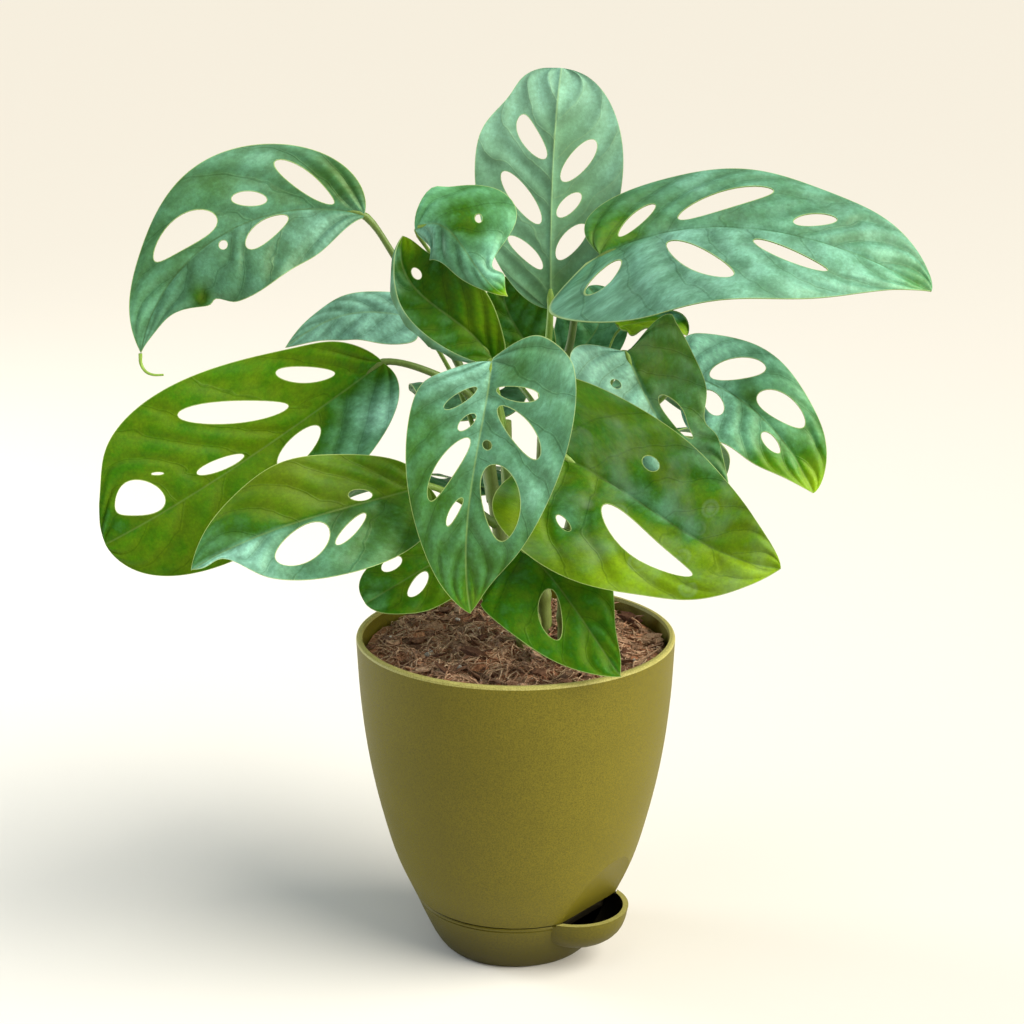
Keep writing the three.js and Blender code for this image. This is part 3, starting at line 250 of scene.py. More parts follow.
        "rib": [[15, -36, 221], [46, -48, 205], [71, -62, 192], [98, -74, 186]], "face": [0, -0.9, 0.45],
        "wide": [31, 41], "peak": [0.25, 0.27], "taper": [0.6, 1], "lobe": [0.25, 0.25],
        "nicks": [[1, 0.6, 1.5, 0.12]], "petiole": [[12, -30, 212], [-2, -19, 184]],
        "holes": [[0.25, 0.21, 0.69, 0.56, 10], [0.29, -0.44, 0.35, -0.52, 5], [0.17, 0.55, 0.24, 0.6, 3]],
        "slot": "leaf_mid_green", "tone": [2.1, 2.6, 2.2, 2.9], "light": [0.95, 0.95, 0.92, 1.1],
        "midrib": 0.2, "veins": 6, "marks": 0.8,
        "patches": [[0.32, -0.05, 6, -0.9, 0.25], [0.45, -0.08, 6, -0.9, 0.25], [0.58, -0.08, 6, -0.7, 0.2],
                    [0.2, 0.5, 8, -0.8, 0.15], [0.12, 0.85, 9, 0.6, -0.1], [0.5, 0.9, 12, 0.4, 0.15],
                    [0.93, 0.1, 10, 0.3, 0.15], [0.35, -0.5, 10, 0.1, -0.2], [0.5, -0.95, 9, -0.6, 0.1]],
    },
    "leaf_over_rim": {
        "rib": [[1, -36, 183], [15, -46, 172], [29, -58, 155], [40, -67, 141]], "face": [0, -0.9, 0.45],
        "wide": [21, 28], "peak": [0.4, 0.3], "taper": [1.1, 1], "lobe": [0.1, 0.3],
        "nicks": [[0, 0.7, 5.5, 0.2]], "petiole": [[0, -27, 174], [3, -17, 160]],
        "holes": [[0.35, 0.12, 0.6, 0.6, 7.5]], "slot": "leaf_yellow_green", "tone": [2.1, 2.2, 2.1, 2.2],
        "light": [1, 1, 1.1, 1], "midrib": 0.4, "veins": 5, "patches": [],
    },
    "leaf_right_inner": {
        "rib": [[43, -10, 255], [52, -16, 236], [64, -26, 219], [82, -34, 206]], "face": [0.2, -0.9, 0.4],
        "wide": [25, 26], "peak": [0.25, 0.25], "taper": [0.7, 0.8], "lobe": [0.2, 0.3],
        "nicks": [[0, 0.6, 4, 0.1], [0, 0.03, -3, 0.05]], "petiole": [[38, 0, 242], [28, -4, 214]],
        "holes": [[0.33, -0.2, 0.65, -0.46, 6], [0.21, 0.42, 0.17, 0.32, 4]], "slot": "leaf_blue_green",
        "tone": [1.9, 1.8, 0.3, 0.6], "light": [1.1, 1.1, 1.25, 1.15], "midrib": 0.6, "veins": 6,
        "marks": 0.6, "patches": [[0.15, -0.4, 12, 0.3, -0.1]],
    },
    "leaf_right_outer": {
        "rib": [[68, 0, 243], [86, -8, 237], [103, -18, 223], [116, -26, 202]], "face": [0.2, -0.9, 0.4],
        "wide": [23, 23], "peak": [0.32, 0.4], "taper": [0.6, 1], "lobe": [0.2, 0.2],
        "nicks": [[0, 0.15, 2.5, 0.15], [1, 0.55, 2.5, 0.15]],
        "petiole": [[58, 6, 232], [42, 4, 216], [23, -3, 186]],
        "holes": [[0.15, -0.14, 0.4, -0.74, 8], [0.44, -0.22, 0.7, -0.62, 10], [0.17, 0.22, 0.36, 0.46, 7],
                  [0.6, 0.24, 0.74, 0.32, 5]], "slot": "leaf_blue_green", "tone": [0.2, 2.1, 0.1, 1.9],
        "light": [1.8, 1.35, 1.6, 1.4], "midrib": 0.2, "veins": 6,
        "patches": [[0.97, 0, 12, 0.8, 0], [0.35, 0.2, 10, -0.1, 0.1], [0.4, -0.15, 8, 0.8, -0.6],
                    [0.75, 0.85, 8, 0.8, 0]],
    },
    "leaf_unfurling": {
        "rib": [[42, 26, 258], [51, 26, 260], [62, 22, 261], [69, 18, 256]], "face": [0, -0.3, 1],
        "wide": [7, 10], "petiole": [[34, 18, 241], [22, 12, 227], [11, 9, 210]], "holes": [],
        "roll": [0.6, 1.6, 150, 0], "slot": "leaf_yellow_green", "tone": [2.5, 2.8, 2.6, 2.9],
        "light": [1.3, 1.5, 1.3, 1.5], "veins": 4,
        "patches": [[0.4, -0.95, 5, -1.8, 0], [0.7, -0.95, 5, -1.8, 0]],
    },
    "leaf_left_inner": {
        "rib": [[-41, 8, 265], [-60, 10, 267], [-76, 10, 263], [-92, 8, 253]], "face": [0, -0.85, 0.5],
        "wide": [13, 9], "peak": [0.25, 0.25], "taper": [0.9, 0.9], "lobe": [0.15, 0.15],
        "petiole": [[-26, 8, 243], [-11, 1, 205]], "holes": [], "slot": "leaf_blue_green",
        "tone": [0.3, 0.4, 0.3, 0.6], "light": [1.15, 1.15, 1.1, 1.1], "veins": 5,
    },
    "leaf_centre_left": {
        "rib": [[11, 22, 243], [2, 26, 255], [-4, 30, 266], [-5, 32, 278]], "face": [0, -0.9, 0.4],
        "wide": [10, 15], "peak": [0.5, 0.5], "taper": [0.7, 0.7], "petiole": [[12, 15, 232], [12, 8, 220]],
        "holes": [], "slot": "leaf_mid_green", "tone": [2, 2.1, 1.9, 2.1], "light": [1.1, 1.15, 1.1, 1.15],
        "veins": 5,
    },
    "leaf_centre_right": {
        "rib": [[19, 30, 241], [31, 34, 252], [35, 38, 262], [30, 42, 272]], "face": [0, -0.9, 0.4],
        "wide": [18, 13], "peak": [0.5, 0.4], "taper": [0.7, 0.7],
        "petiole": [[16, 25, 222], [10, 11, 184]], "holes": [], "slot": "leaf_yellow_green",
        "tone": [1.6, 1.3, 1.5, 1.2], "light": [1.4, 1.5, 1.4, 1.5], "veins": 5,
    },
    "leaf_back_left_low": {
        "rib": [[-22, 26, 188], [-45, 48, 190], [-68, 66, 182], [-88, 84, 162]], "face": [-0.3, 0.55, 0.78],
        "wide": [25, 27], "petiole": [[-12, 12, 172], [2, 0, 140]],
        "holes": [[0.2, 0.2, 0.36, 0.66, 7], [0.46, 0.2, 0.62, 0.6, 8], [0.24, -0.2, 0.42, -0.66, 7],
                  [0.52, -0.18, 0.66, -0.52, 6]], "slot": "leaf_mid_green", "tone": [1.6, 2.1, 1.5, 2],
        "light": [0.9, 1, 0.9, 1], "veins": 6,
    },
    "leaf_back_right_low": {
        "rib": [[28, 22, 205], [50, 44, 208], [72, 64, 200], [92, 80, 180]], "face": [0.3, 0.55, 0.78],
        "wide": [27, 25], "petiole": [[25, 12, 190], [20, -2, 156]],
        "holes": [[0.18, 0.2, 0.34, 0.66, 7], [0.44, 0.18, 0.62, 0.6, 8], [0.22, -0.2, 0.4, -0.66, 8],
                  [0.5, -0.18, 0.64, -0.52, 6]], "slot": "leaf_mid_green", "tone": [1.4, 2, 1.5, 2.1],
        "light": [0.9, 1, 0.9, 1], "veins": 6,
    },
    "leaf_back_low": {
        "rib": [[2, 30, 190], [5, 58, 190], [7, 86, 178], [9, 110, 155]], "face": [0, 0.6, 0.8],
        "wide": [26, 26], "petiole": [[5, 22, 176], [12, 14, 144]],
        "holes": [[0.2, 0.2, 0.36, 0.66, 8], [0.48, 0.2, 0.64, 0.58, 7], [0.2, -0.2, 0.38, -0.66, 7],
                  [0.46, -0.2, 0.64, -0.58, 8]], "slot": "leaf_mid_green", "tone": [1.4, 2, 1.5, 2.1],
        "light": [0.9, 1, 0.9, 1], "veins": 6,
    },
    "leaf_back_left": {
        "rib": [[-15, 28, 220], [-20, 54, 226], [-27, 80, 220], [-34, 104, 202]],
        "face": [-0.1, 0.45, 0.88], "wide": [24, 24], "petiole": [[-14, 18, 210], [-10, -1, 192]],
        "holes": [[0.22, 0.2, 0.38, 0.64, 7], [0.5, 0.2, 0.66, 0.56, 7], [0.24, -0.2, 0.42, -0.66, 8]],
        "slot": "leaf_mid_green", "tone": [1.3, 1.9, 1.3, 1.9], "light": [0.95, 1, 0.95, 1], "veins": 6,
    },
    "leaf_back_right": {
        "rib": [[32, 26, 224], [46, 48, 230], [62, 68, 224], [80, 86, 206]], "face": [0.3, 0.4, 0.85],
        "wide": [24, 25], "petiole": [[31, 14, 216], [26, -4, 204]],
        "holes": [[0.2, 0.2, 0.38, 0.66, 7], [0.48, 0.2, 0.64, 0.56, 6], [0.26, -0.2, 0.44, -0.66, 8]],
        "slot": "leaf_blue_green", "tone": [1.1, 1.6, 1.1, 1.6], "light": [0.95, 1, 0.95, 1], "veins": 6,
    },
    "leaf_back_high": {
        "rib": [[0, 42, 234], [-1, 64, 244], [-2, 87, 242], [-3, 108, 226]], "face": [0, 0.4, 0.9],
        "wide": [20, 20], "petiole": [[9, 27, 222], [11, 10, 192]],
        "holes": [[0.22, 0.2, 0.4, 0.66, 7], [0.22, -0.2, 0.4, -0.64, 7], [0.52, -0.2, 0.66, -0.54, 6]],
        "slot": "leaf_blue_green", "tone": [1, 1.6, 1, 1.6], "light": [0.95, 1, 0.95, 1], "veins": 5,
    },
}

# How far a blade stays inside the solids' box
BOX_MARGIN = 0.02

# How far a side vein runs toward the tip on its way to the margin: straight, and by its bend
VEIN_SLANT = 0.22
VEIN_BEND = 0.1

# What a leaf has where its table says nothing
LEAF_HABIT = {
    "peak": [0.4, 0.4], "taper": [0.8, 0.8], "lobe": [0.2, 0.2], "lift": [8, 8], "curl": [-10, -10],
    "nicks": [], "wave": [1.0, 2.5, 0], "slits": [], "roll": None, "drip": None, "patches": [], "midrib": 0.6,
    "stalk": 1.0, "marks": 0.0,
}


def srgb(red, green, blue):
    """A colour from its screen values of 0 to 255."""
    shares = [value / 255 for value in (red, green, blue)]
    return [share / 12.92 if share <= 0.04045 else ((share + 0.055) / 1.055) ** 2.4 for share in shares]


# The greens that a leaf's tone runs through, from 0 to 3. The pale bluish first one is partly a painted sheen
# of sky light
LEAF_GREENS = [srgb(126, 178, 160), srgb(80, 130, 100), srgb(45, 97, 5), srgb(122, 153, 3)]

# How glossy each leaf slot is
LEAF_GLOSS = {"leaf_blue_green": 0.4, "leaf_mid_green": 0.3, "leaf_yellow_green": 0.2}


# Settings

class PotSettings(bpy.types.PropertyGroup):
    """The pot and its water tray."""

    colour: FloatVectorProperty(
        name="Plastic", description="Colour of the pot's plastic", subtype="COLOR", default=srgb(106, 98, 20))
    # The rims are painted in this paler colour as a highlight
    rim_highlight_colour: FloatVectorProperty(
        name="Edges", description="Colour of the pot's rim and the cup's rim", subtype="COLOR",
        default=srgb(164, 158, 88))
    round_sides: IntProperty(
        name="Round sides", description="Number of flat sides in each full turn", default=160, min=24,
        max=320)
    edge_radius: FloatProperty(
        name="Edge rounding", description="Radius of the moulded edges", default=0.0005, unit="LENGTH")


class LeafSettings(bpy.types.PropertyGroup):
    """The leaves and stems."""

    blade_thickness: FloatProperty(
        name="Blade thickness", description="Thickness of a leaf's blade", default=0.00045, unit="LENGTH")
    vein_relief: FloatProperty(
        name="Vein relief", description="How far the blade puckers between its side veins", default=0.00055,
        unit="LENGTH")
    cell: FloatProperty(
        name="Mesh step", description="Distance between the blade's mesh points", default=0.0009,
        unit="LENGTH")
    margin_colour: FloatVectorProperty(
        name="Margin", description="Colour of the cut edge of a blade", subtype="COLOR",
        default=srgb(120, 150, 74))
    petiole_colour: FloatVectorProperty(
        name="Petiole", description="Colour of the leaf stalks", subtype="COLOR", default=srgb(92, 128, 44))
    stem_colour: FloatVectorProperty(
        name="Stem", description="Colour of the stems", subtype="COLOR", default=srgb(118, 128, 66))


class SoilSettings(bpy.types.PropertyGroup):
    """The potting mix."""

    ground_colour: FloatVectorProperty(
        name="Ground", description="Colour of the fine, damp mix", subtype="COLOR", default=srgb(120, 80, 60))
    fibre_count: IntProperty(
        name="Fibres", description="Number of loose coir fibres", default=2600, min=0, max=4000)
    chip_count: IntProperty(
        name="Bark chips", description="Number of bark chips", default=620, min=0, max=1500)
    grain_count: IntProperty(
        name="Pale grains", description="Number of pale mineral grains", default=46, min=0, max=300)


class StageSettings(bpy.types.PropertyGroup):
    """The camera, the lights and the floor."""

    lens: FloatProperty(name="Lens", description="Focal length in millimetres", default=73.83)
    camera_distance: FloatProperty(
        name="Camera distance", description="How far in front of the pot the camera stands", default=0.817,
        unit="LENGTH")
    camera_height: FloatProperty(
        name="Camera height", description="Height of the camera over the floor", default=0.416, unit="LENGTH")
    camera_pitch: FloatProperty(
        name="Camera pitch", description="How far the camera looks down", default=math.radians(15.65),
        subtype="ANGLE")
    floor_colour: FloatVectorProperty(
        name="Floor", description="Colour of the floor", subtype="COLOR", default=srgb(222, 219, 213))
    sky_strength: FloatProperty(
        name="Sky light", description="Strength of the light from all round", default=0.21)
    sun_strength: FloatProperty(
        name="Right light", description="Strength of the warm light from the right", default=6.0)
    sun_width: FloatProperty(
        name="Right light's width", description="How wide the right light looks", default=math.radians(58),
        subtype="ANGLE")
    left_power: FloatProperty(
        name="Left light", description="Power of the cool light at the left", default=8.0)
    top_power: FloatProperty(name="Top light", description="Power of the cool light overhead", default=6.5)


# Materials

class NodeTree:
    """Adds nodes to a node tree and joins their sockets."""

    def __init__(self, tree):
        self.tree = tree

    def feed(self, socket, value):
        """Links a socket to the value, or sets it."""
        if isinstance(value, bpy.types.NodeSocket):
            self.tree.links.new(value, socket)
        elif socket.type == "RGBA" and len(value) == 3:
            socket.default_value = [*value, 1]
        else:
            socket.default_value = value

    def add(self, kind, values=None, **settings):
        """A new node with these settings and inputs."""
        node = self.tree.nodes.new(kind)
        for name, value in settings.items():
            setattr(node, name, value)
        for socket, value in (values or {}).items():
            self.feed(node.inputs[socket], value)
        return node

    def place(self, group, values):
        """The outputs of a shared group, placed with these inputs."""
        return self.add("ShaderNodeGroup", values, node_tree=group).outputs

    def math(self, operation, *values):
        """The result of a sum."""
        node = self.add("ShaderNodeMath", operation=operation)
        for socket, value in zip(node.inputs, values):
            self.feed(socket, value)
        return node.outputs[0]

    def mix(self, share, first, second, blend="MIX"):
        """Two colours mixed by a share."""
        values = {0: share, 6: first, 7: second}
        return self.add("ShaderNodeMix", values, data_type="RGBA", blend_type=blend).outputs[2]

    def times(self, first, second):
        """Two colours multiplied."""
        return self.mix(1.0, first, second, "MULTIPLY")

    def grey(self, light):
        """The grey of a brightness."""
        return self.add("ShaderNodeCombineColor", {0: light, 1: light, 2: light}).outputs[0]

    def bump(self, strength, distance, height):
        """A normal that is tilted by a height."""
        values = {"Strength": strength, "Distance": distance, "Height": height}
        return self.add("ShaderNodeBump", values).outputs[0]

    def object_place(self):
        """Places on the object."""
        return self.add("ShaderNodeTexCoord").outputs["Object"]

    def flat_place(self):
        """Places on a blade laid flat, in metres."""
        return self.add("ShaderNodeUVMap", uv_map="flat").outputs[0]

    def colour_scale(self, value, colours):
        """Evenly spaced colours, picked by a value of 0 to 1."""
        scale = self.add("ShaderNodeValToRGB", {0: value})
        stops = scale.color_ramp.elements
        while len(stops) < len(colours):
            stops.new(0.5)
        for i, colour in enumerate(colours):
            stops[i].position = i / (len(colours) - 1)
            stops[i].color = [*colour, 1]
        return scale.outputs[0]

    def ramp(self, value, low, high, start=0.0, end=1.0):
        """A value taken smoothly from start at low to end at high."""
        values = {"Value": value, "From Min": low, "From Max": high, "To Min": start, "To Max": end}
        return self.add("ShaderNodeMapRange", values, interpolation_type="SMOOTHSTEP").outputs[0]

    def attribute(self, name):
        """A number that the mesh carries."""
        return self.add("ShaderNodeAttribute", attribute_name=name).outputs["Fac"]

    def noise(self, vector, size, detail):
        """Cloudy noise with blots of a size in metres."""
        values = {"Vector": vector, "Scale": 1 / size, "Detail": detail}
        return self.add("ShaderNodeTexNoise", values).outputs[0]


def shared_group(name, inputs, outputs, build):
    """A node group, built the first time that it is asked for."""
    found = bpy.data.node_groups.get(name)
    if found:
        return found
    tree = bpy.data.node_groups.new(name, "ShaderNodeTree")
    for socket, (kind, value) in inputs.items():
        made = tree.interface.new_socket(socket, in_out="INPUT", socket_type=kind)
        if value is not None:
            made.default_value = value
    for socket, kind in outputs.items():
        tree.interface.new_socket(socket, in_out="OUTPUT", socket_type=kind)
    nodes = NodeTree(tree)
    results = build(nodes, nodes.add("NodeGroupInput").outputs)
    nodes.add("NodeGroupOutput", results)
    return tree


def mottle(nodes, vector, scale, grain):
    """Blotches with a finer grain in them, for plastic, soil, stems and leaves, with so many to the metre."""
    def build(inner, given):
        place = given["Vector"]
        wide = inner.add("ShaderNodeTexNoise", {"Vector": place, "Scale": given["Scale"], "Detail": 3.0})
        finer = inner.math("MULTIPLY", given["Scale"], 5.3)
        fine = inner.add("ShaderNodeTexNoise", {"Vector": place, "Scale": finer, "Detail": 2.0})
        added = inner.math("MULTIPLY", inner.math("SUBTRACT", fine.outputs[0], 0.5), given["Grain"])
        both = inner.math("ADD", wide.outputs[0], added)
        return {"Mask": inner.ramp(both, 0.3, 0.7), "Grain": fine.outputs[0]}

    inputs = {
        "Vector": ("NodeSocketVector", None), "Scale": ("NodeSocketFloat", 100.0),
        "Grain": ("NodeSocketFloat", 0.5),
    }
    group = shared_group("Mottle", inputs, {"Mask": "NodeSocketFloat", "Grain": "NodeSocketFloat"}, build)
    return nodes.place(group, {"Vector": vector, "Scale": scale, "Grain": grain})


def vein_group():
    """The midrib, side veins, fine net and margin of a leaf, and the painted sheen between its side veins, from
    what its mesh carries.
    """
    def build(nodes, given):
        flat = nodes.flat_place()
        wander = nodes.math("MULTIPLY_ADD", nodes.noise(flat, 0.014, 2.0), 0.5, -0.25)
        phase = nodes.math("ADD", nodes.attribute("vein"), wander)
        off_vein = nodes.math("ABSOLUTE", nodes.math("SUBTRACT", phase, nodes.math("ROUND", phase)))
        side = nodes.ramp(off_vein, 0.008, 0.035, 1.0, 0.0)
        # Painted sheen: a band between each pair of side veins, where the blade bulges, drawn bluer and lighter
        band = nodes.math("FRACT", phase)
        painted_sheen = nodes.math("MULTIPLY", nodes.ramp(band, 0.06, 0.34), nodes.ramp(band, 0.94, 0.5))
        rib = nodes.ramp(nodes.math("ABSOLUTE", nodes.attribute("rib")), 0.1, 0.55, 1.0, 0.0)
        edge = nodes.ramp(nodes.attribute("margin"), 0.05, 0.35, 1.0, 0.0)
        values = {"Vector": flat, "Scale": 420.0}
        cells = nodes.add("ShaderNodeTexVoronoi", values, feature="DISTANCE_TO_EDGE")
        off_net = cells.outputs["Distance"]
        net = nodes.ramp(off_net, 0.02, 0.11, 1.0, 0.0)
        height = nodes.math("SUBTRACT", nodes.math("MULTIPLY", off_net, 0.6), side)
        return dict(zip(names, [side, painted_sheen, rib, edge, net, height]))

    names = ["Side vein", "Painted sheen", "Midrib", "Margin", "Net", "Height"]
    return shared_group("Leaf veins", {}, {name: "NodeSocketFloat" for name in names}, build)


def water_mark_group():
    """Rings and films that drops of hard water leave when they dry."""
    def build(nodes, given):
        drops = nodes.add("ShaderNodeTexVoronoi", {"Vector": given["Vector"], "Scale": 95.0})
        chance = nodes.add("ShaderNodeSeparateColor", {0: drops.outputs["Color"]}).outputs
        size = nodes.math("MULTIPLY_ADD", chance[1], 0.22, 0.12)
        off_ring = nodes.math("ABSOLUTE", nodes.math("SUBTRACT", drops.outputs["Distance"], size))
        ring = nodes.ramp(off_ring, 0.01, 0.12, 0.35, 0.0)
        film = nodes.ramp(drops.outputs["Distance"], 0.0, 0.34, 0.6, 0.0)
        drop = nodes.math("MULTIPLY", nodes.math("MAXIMUM", ring, film), nodes.ramp(chance[0], 0.45, 0.6))
        haze = nodes.ramp(nodes.noise(given["Vector"], 0.016, 6.0), 0.42, 0.75, 0.0, 0.6)
        return {"Mask": nodes.math("MAXIMUM", drop, haze)}

    inputs = {"Vector": ("NodeSocketVector", None)}
    return shared_group("Water marks", inputs, {"Mask": "NodeSocketFloat"}, build)


def new_material(name):
    """An empty material, its nodes and its shader."""
    material = bpy.data.materials.new(name)
    material.use_nodes = True
    nodes = NodeTree(material.node_tree)
    return material, nodes, material.node_tree.nodes["Principled BSDF"]


def plastic_material(name, colour, roughness):
    """Matt moulded plastic with a fine fleck, and painted shade that darkens it toward the table."""
    material, nodes, shader = new_material(name)
    place = nodes.object_place()
    fleck = mottle(nodes, place, 1800.0, 0.9)
    cloud = mottle(nodes, place, 40.0, 0.3)
    dark = nodes.times(colour, [0.7, 0.71, 0.62])
    pale = nodes.times(colour, [1.24, 1.23, 1.34])
    flecked = nodes.mix(fleck["Mask"], dark, pale)
    clouded = nodes.mix(nodes.math("MULTIPLY", cloud["Mask"], 0.18), flecked, dark)
    height = nodes.add("ShaderNodeSeparateXYZ", {0: place}).outputs["Z"]
    # Painted shade: darker toward the table, from 0.4 of the colour at the foot to all of it 36 mm up
    painted_shade_near_table = nodes.grey(nodes.ramp(height, 0.002, 0.036, 0.4, 1.0))
    nodes.feed(shader.inputs["Base Color"], nodes.times(clouded, painted_shade_near_table))
    nodes.feed(shader.inputs["Roughness"], nodes.ramp(fleck["Mask"], 0, 1, roughness - 0.06, roughness + 0.1))
    nodes.feed(shader.inputs["Normal"], nodes.bump(0.35, 0.00012, fleck["Grain"]))
    shader.inputs["Specular IOR Level"].default_value = 0.22
    return material


def leaf_material(name, gloss, under):
    """The waxy upper side of a blade, or its paler, duller underside."""
    material, nodes, shader = new_material(name)
    flat = nodes.flat_place()
    veins = nodes.place(vein_group(), {})
    blotch = mottle(nodes, flat, 110.0, 0.35)
    dapple = mottle(nodes, flat, 260.0, 0.5)
    freckle = mottle(nodes, flat, 800.0, 0.6)
    marks = nodes.place(water_mark_group(), {"Vector": flat})["Mask"]
    # The tone's bluish end is partly a painted sheen of sky light; the blotches are the leaf's own mottle
    tone = nodes.math("ADD", nodes.attribute("tone"), nodes.math("MULTIPLY_ADD", blotch["Mask"], 0.3, -0.15))
    tone = nodes.math("MULTIPLY_ADD", veins["Painted sheen"], -0.14, tone)
    tissue = nodes.colour_scale(nodes.math("DIVIDE", tone, 3.0), LEAF_GREENS)
    # Painted light and shade: how brightly lit each part of the blade is drawn, from what the mesh carries
    light = nodes.attribute("light")
    # The bands between side veins are a painted sheen; the flecks, blotches and dapples are the leaf's own
    # mottle
    shades = [(freckle["Mask"], 0.9, 1.07), (veins["Painted sheen"], 0.87, 1.06), (blotch["Mask"], 1.09, 0.9),
              (dapple["Mask"], 0.92, 1.07)]
    for mask, least, most in shades:
        light = nodes.math("MULTIPLY", light, nodes.ramp(mask, 0, 1, least, most))
    tissue = nodes.times(tissue, nodes.grey(light))
    pale = nodes.mix(0.35, tissue, srgb(178, 206, 120))
    dark = nodes.times(tissue, [0.5, 0.58, 0.45])
    veined = nodes.mix(nodes.math("MULTIPLY", veins["Net"], 0.2 if under else 0.1), tissue, dark)
    # On the upper side the sunken side veins and a dark midrib are painted dark, as shade in their creases;
    # underneath, the raised veins are pale
    side_vein = nodes.math("MULTIPLY", veins["Side vein"], 0.2 if under else 0.42)
    veined = nodes.mix(side_vein, veined, pale if under else dark)
    midrib = nodes.mix(nodes.attribute("midrib"), dark, pale)
    veined = nodes.mix(nodes.math("MULTIPLY", veins["Midrib"], 0.75), veined, midrib)
    film = nodes.math("MULTIPLY", marks, nodes.math("MULTIPLY", nodes.attribute("marks"), 0.3))
    marked = nodes.mix(film, veined, srgb(170, 196, 186))
    # Painted highlight: a pale band along the margins and round the holes
    highlighted = nodes.mix(nodes.math("MULTIPLY", veins["Margin"], 0.5), marked, srgb(192, 210, 132))
    surface = nodes.mix(0.25, highlighted, srgb(146, 186, 150)) if under else highlighted
    nodes.feed(shader.inputs["Base Color"], surface)
    sheen = nodes.ramp(blotch["Mask"], 0, 1, 0.38, 0.52)
    nodes.feed(shader.inputs["Roughness"], nodes.math("ADD", sheen, 0.15) if under else sheen)
    relief = nodes.math("ADD", veins["Height"], nodes.math("MULTIPLY", freckle["Grain"], 0.5))
    nodes.feed(shader.inputs["Normal"], nodes.bump(0.3, 0.00025, relief))
    shader.inputs["Specular IOR Level"].default_value = gloss * 0.6 if under else gloss
    nodes.feed(shader.inputs["Specular Tint"], srgb(226, 240, 176))
    return material


def margin_material(colour):
    """The cut edge of a blade."""
    material, nodes, shader = new_material("leaf_margin")
    blotch = mottle(nodes, nodes.object_place(), 260.0, 0.5)
    darker = nodes.mix(0.5, colour, srgb(84, 118, 40))
    nodes.feed(shader.inputs["Base Color"], nodes.mix(blotch["Mask"], darker, colour))
    shader.inputs["Roughness"].default_value = 0.5
    return material


def stalk_material(name, colour, tip_colour, streak):
    """A smooth green stalk with long darker streaks."""
    material, nodes, shader = new_material(name)
    values = {"Vector": nodes.object_place(), "Scale": [1.0, 1.0, 0.22]}
    streaks = mottle(nodes, nodes.add("ShaderNodeMapping", values).outputs[0], 700.0, 0.8)
    green = nodes.mix(nodes.attribute("tone"), colour, tip_colour)
    green = nodes.times(green, nodes.grey(nodes.attribute("light")))
    dark = nodes.times(green, [0.55, 0.5, 0.4])
    streaked = nodes.mix(nodes.math("MULTIPLY", streaks["Mask"], streak), green, dark)
    nodes.feed(shader.inputs["Base Color"], streaked)
    nodes.feed(shader.inputs["Normal"], nodes.bump(0.4, 0.0002, streaks["Grain"]))
    shader.inputs["Roughness"].default_value = 0.48
    return material


def mix_material(name, dark, pale, size, roughness=0.9):
    """Earthy stuff, from dark to pale by the tone that the mesh carries, with grains of a size in metres."""
    material, nodes, shader = new_material(name)
    grain = mottle(nodes, nodes.object_place(), 1 / size, 0.9)
    toned = nodes.mix(nodes.attribute("tone"), dark, pale)
    shaded = nodes.times(toned, [0.52, 0.49, 0.47])
    nodes.feed(shader.inputs["Base Color"], nodes.mix(grain["Mask"], shaded, toned))
    nodes.feed(shader.inputs["Normal"], nodes.bump(0.8, 0.0004, grain["Grain"]))
    shader.inputs["Roughness"].default_value = roughness
    shader.inputs["Specular IOR Level"].default_value = 0.2
    return material


# Modelling helpers

def select_only(*pieces):
    """Selects these objects and makes the first one active."""
    bpy.ops.object.select_all(action="DESELECT")
    for piece in pieces:
        piece.select_set(True)
    bpy.context.view_layer.objects.active = pieces[0]


def apply_modifier(piece, kind, **settings):
    """Gives a piece a modifier with these settings, and applies it."""
    select_only(piece)
    bpy.ops.object.modifier_add(type=kind)
    modifier = piece.modifiers[-1]
    for name, value in settings.items():
        setattr(modifier, name, value)
    bpy.ops.object.modifier_apply(modifier=modifier.name)


def cut(piece, tool, operation="DIFFERENCE"):
    """Cuts a piece with a tool, or joins the two, and removes the tool."""
    apply_modifier(piece, "BOOLEAN", object=tool, operation=operation, solver="EXACT")
    bpy.data.objects.remove(tool)


def join(*pieces):
    """Joins the pieces into the first one."""
    select_only(*pieces)
    bpy.ops.object.join()
    return pieces[0]


def read_points(piece):
    """A mesh's points in millimetres."""
    flat = np.zeros(len(piece.data.vertices) * 3)
    piece.data.vertices.foreach_get("co", flat)
    return flat.reshape(-1, 3) / MM


def write_points(piece, points):
    """Sets a mesh's points from millimetres."""
    piece.data.vertices.foreach_set("co", (np.asarray(points) * MM).ravel())
    piece.data.update()


def carry(piece, name, values):
    """Stores a number at each point of a mesh."""
    attribute = piece.data.attributes.new(name, "FLOAT", "POINT")
    attribute.data.foreach_set("value", np.asarray(values, np.float32))


def face_centres(piece):
    """The middle of each face, in millimetres, and its normal."""
    count = len(piece.data.polygons)
    centres = np.zeros(count * 3)
    normals = np.zeros(count * 3)
    piece.data.polygons.foreach_get("center", centres)
    piece.data.polygons.foreach_get("normal", normals)
    return centres.reshape(-1, 3) / MM, normals.reshape(-1, 3)


def paint(piece, materials, index):
    """Gives a piece its materials, and each of its faces the one that its index picks."""
    for material in materials:
        piece.data.materials.append(material)
    piece.data.polygons.foreach_set("material_index", index.astype(np.int32))


def finish_piece(piece, name, slot, *nodes):
    """Names a piece and lets it ride on the part in place of its solids."""
    piece.name = name
    piece.data.name = name
    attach(piece, BODY)
    if nodes:
        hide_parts(*nodes)


def smooth(piece, degrees):
    """Shades a piece smooth, except over edges sharper than an angle."""
    select_only(piece)
    bpy.ops.object.shade_smooth_by_angle(angle=math.radians(degrees))


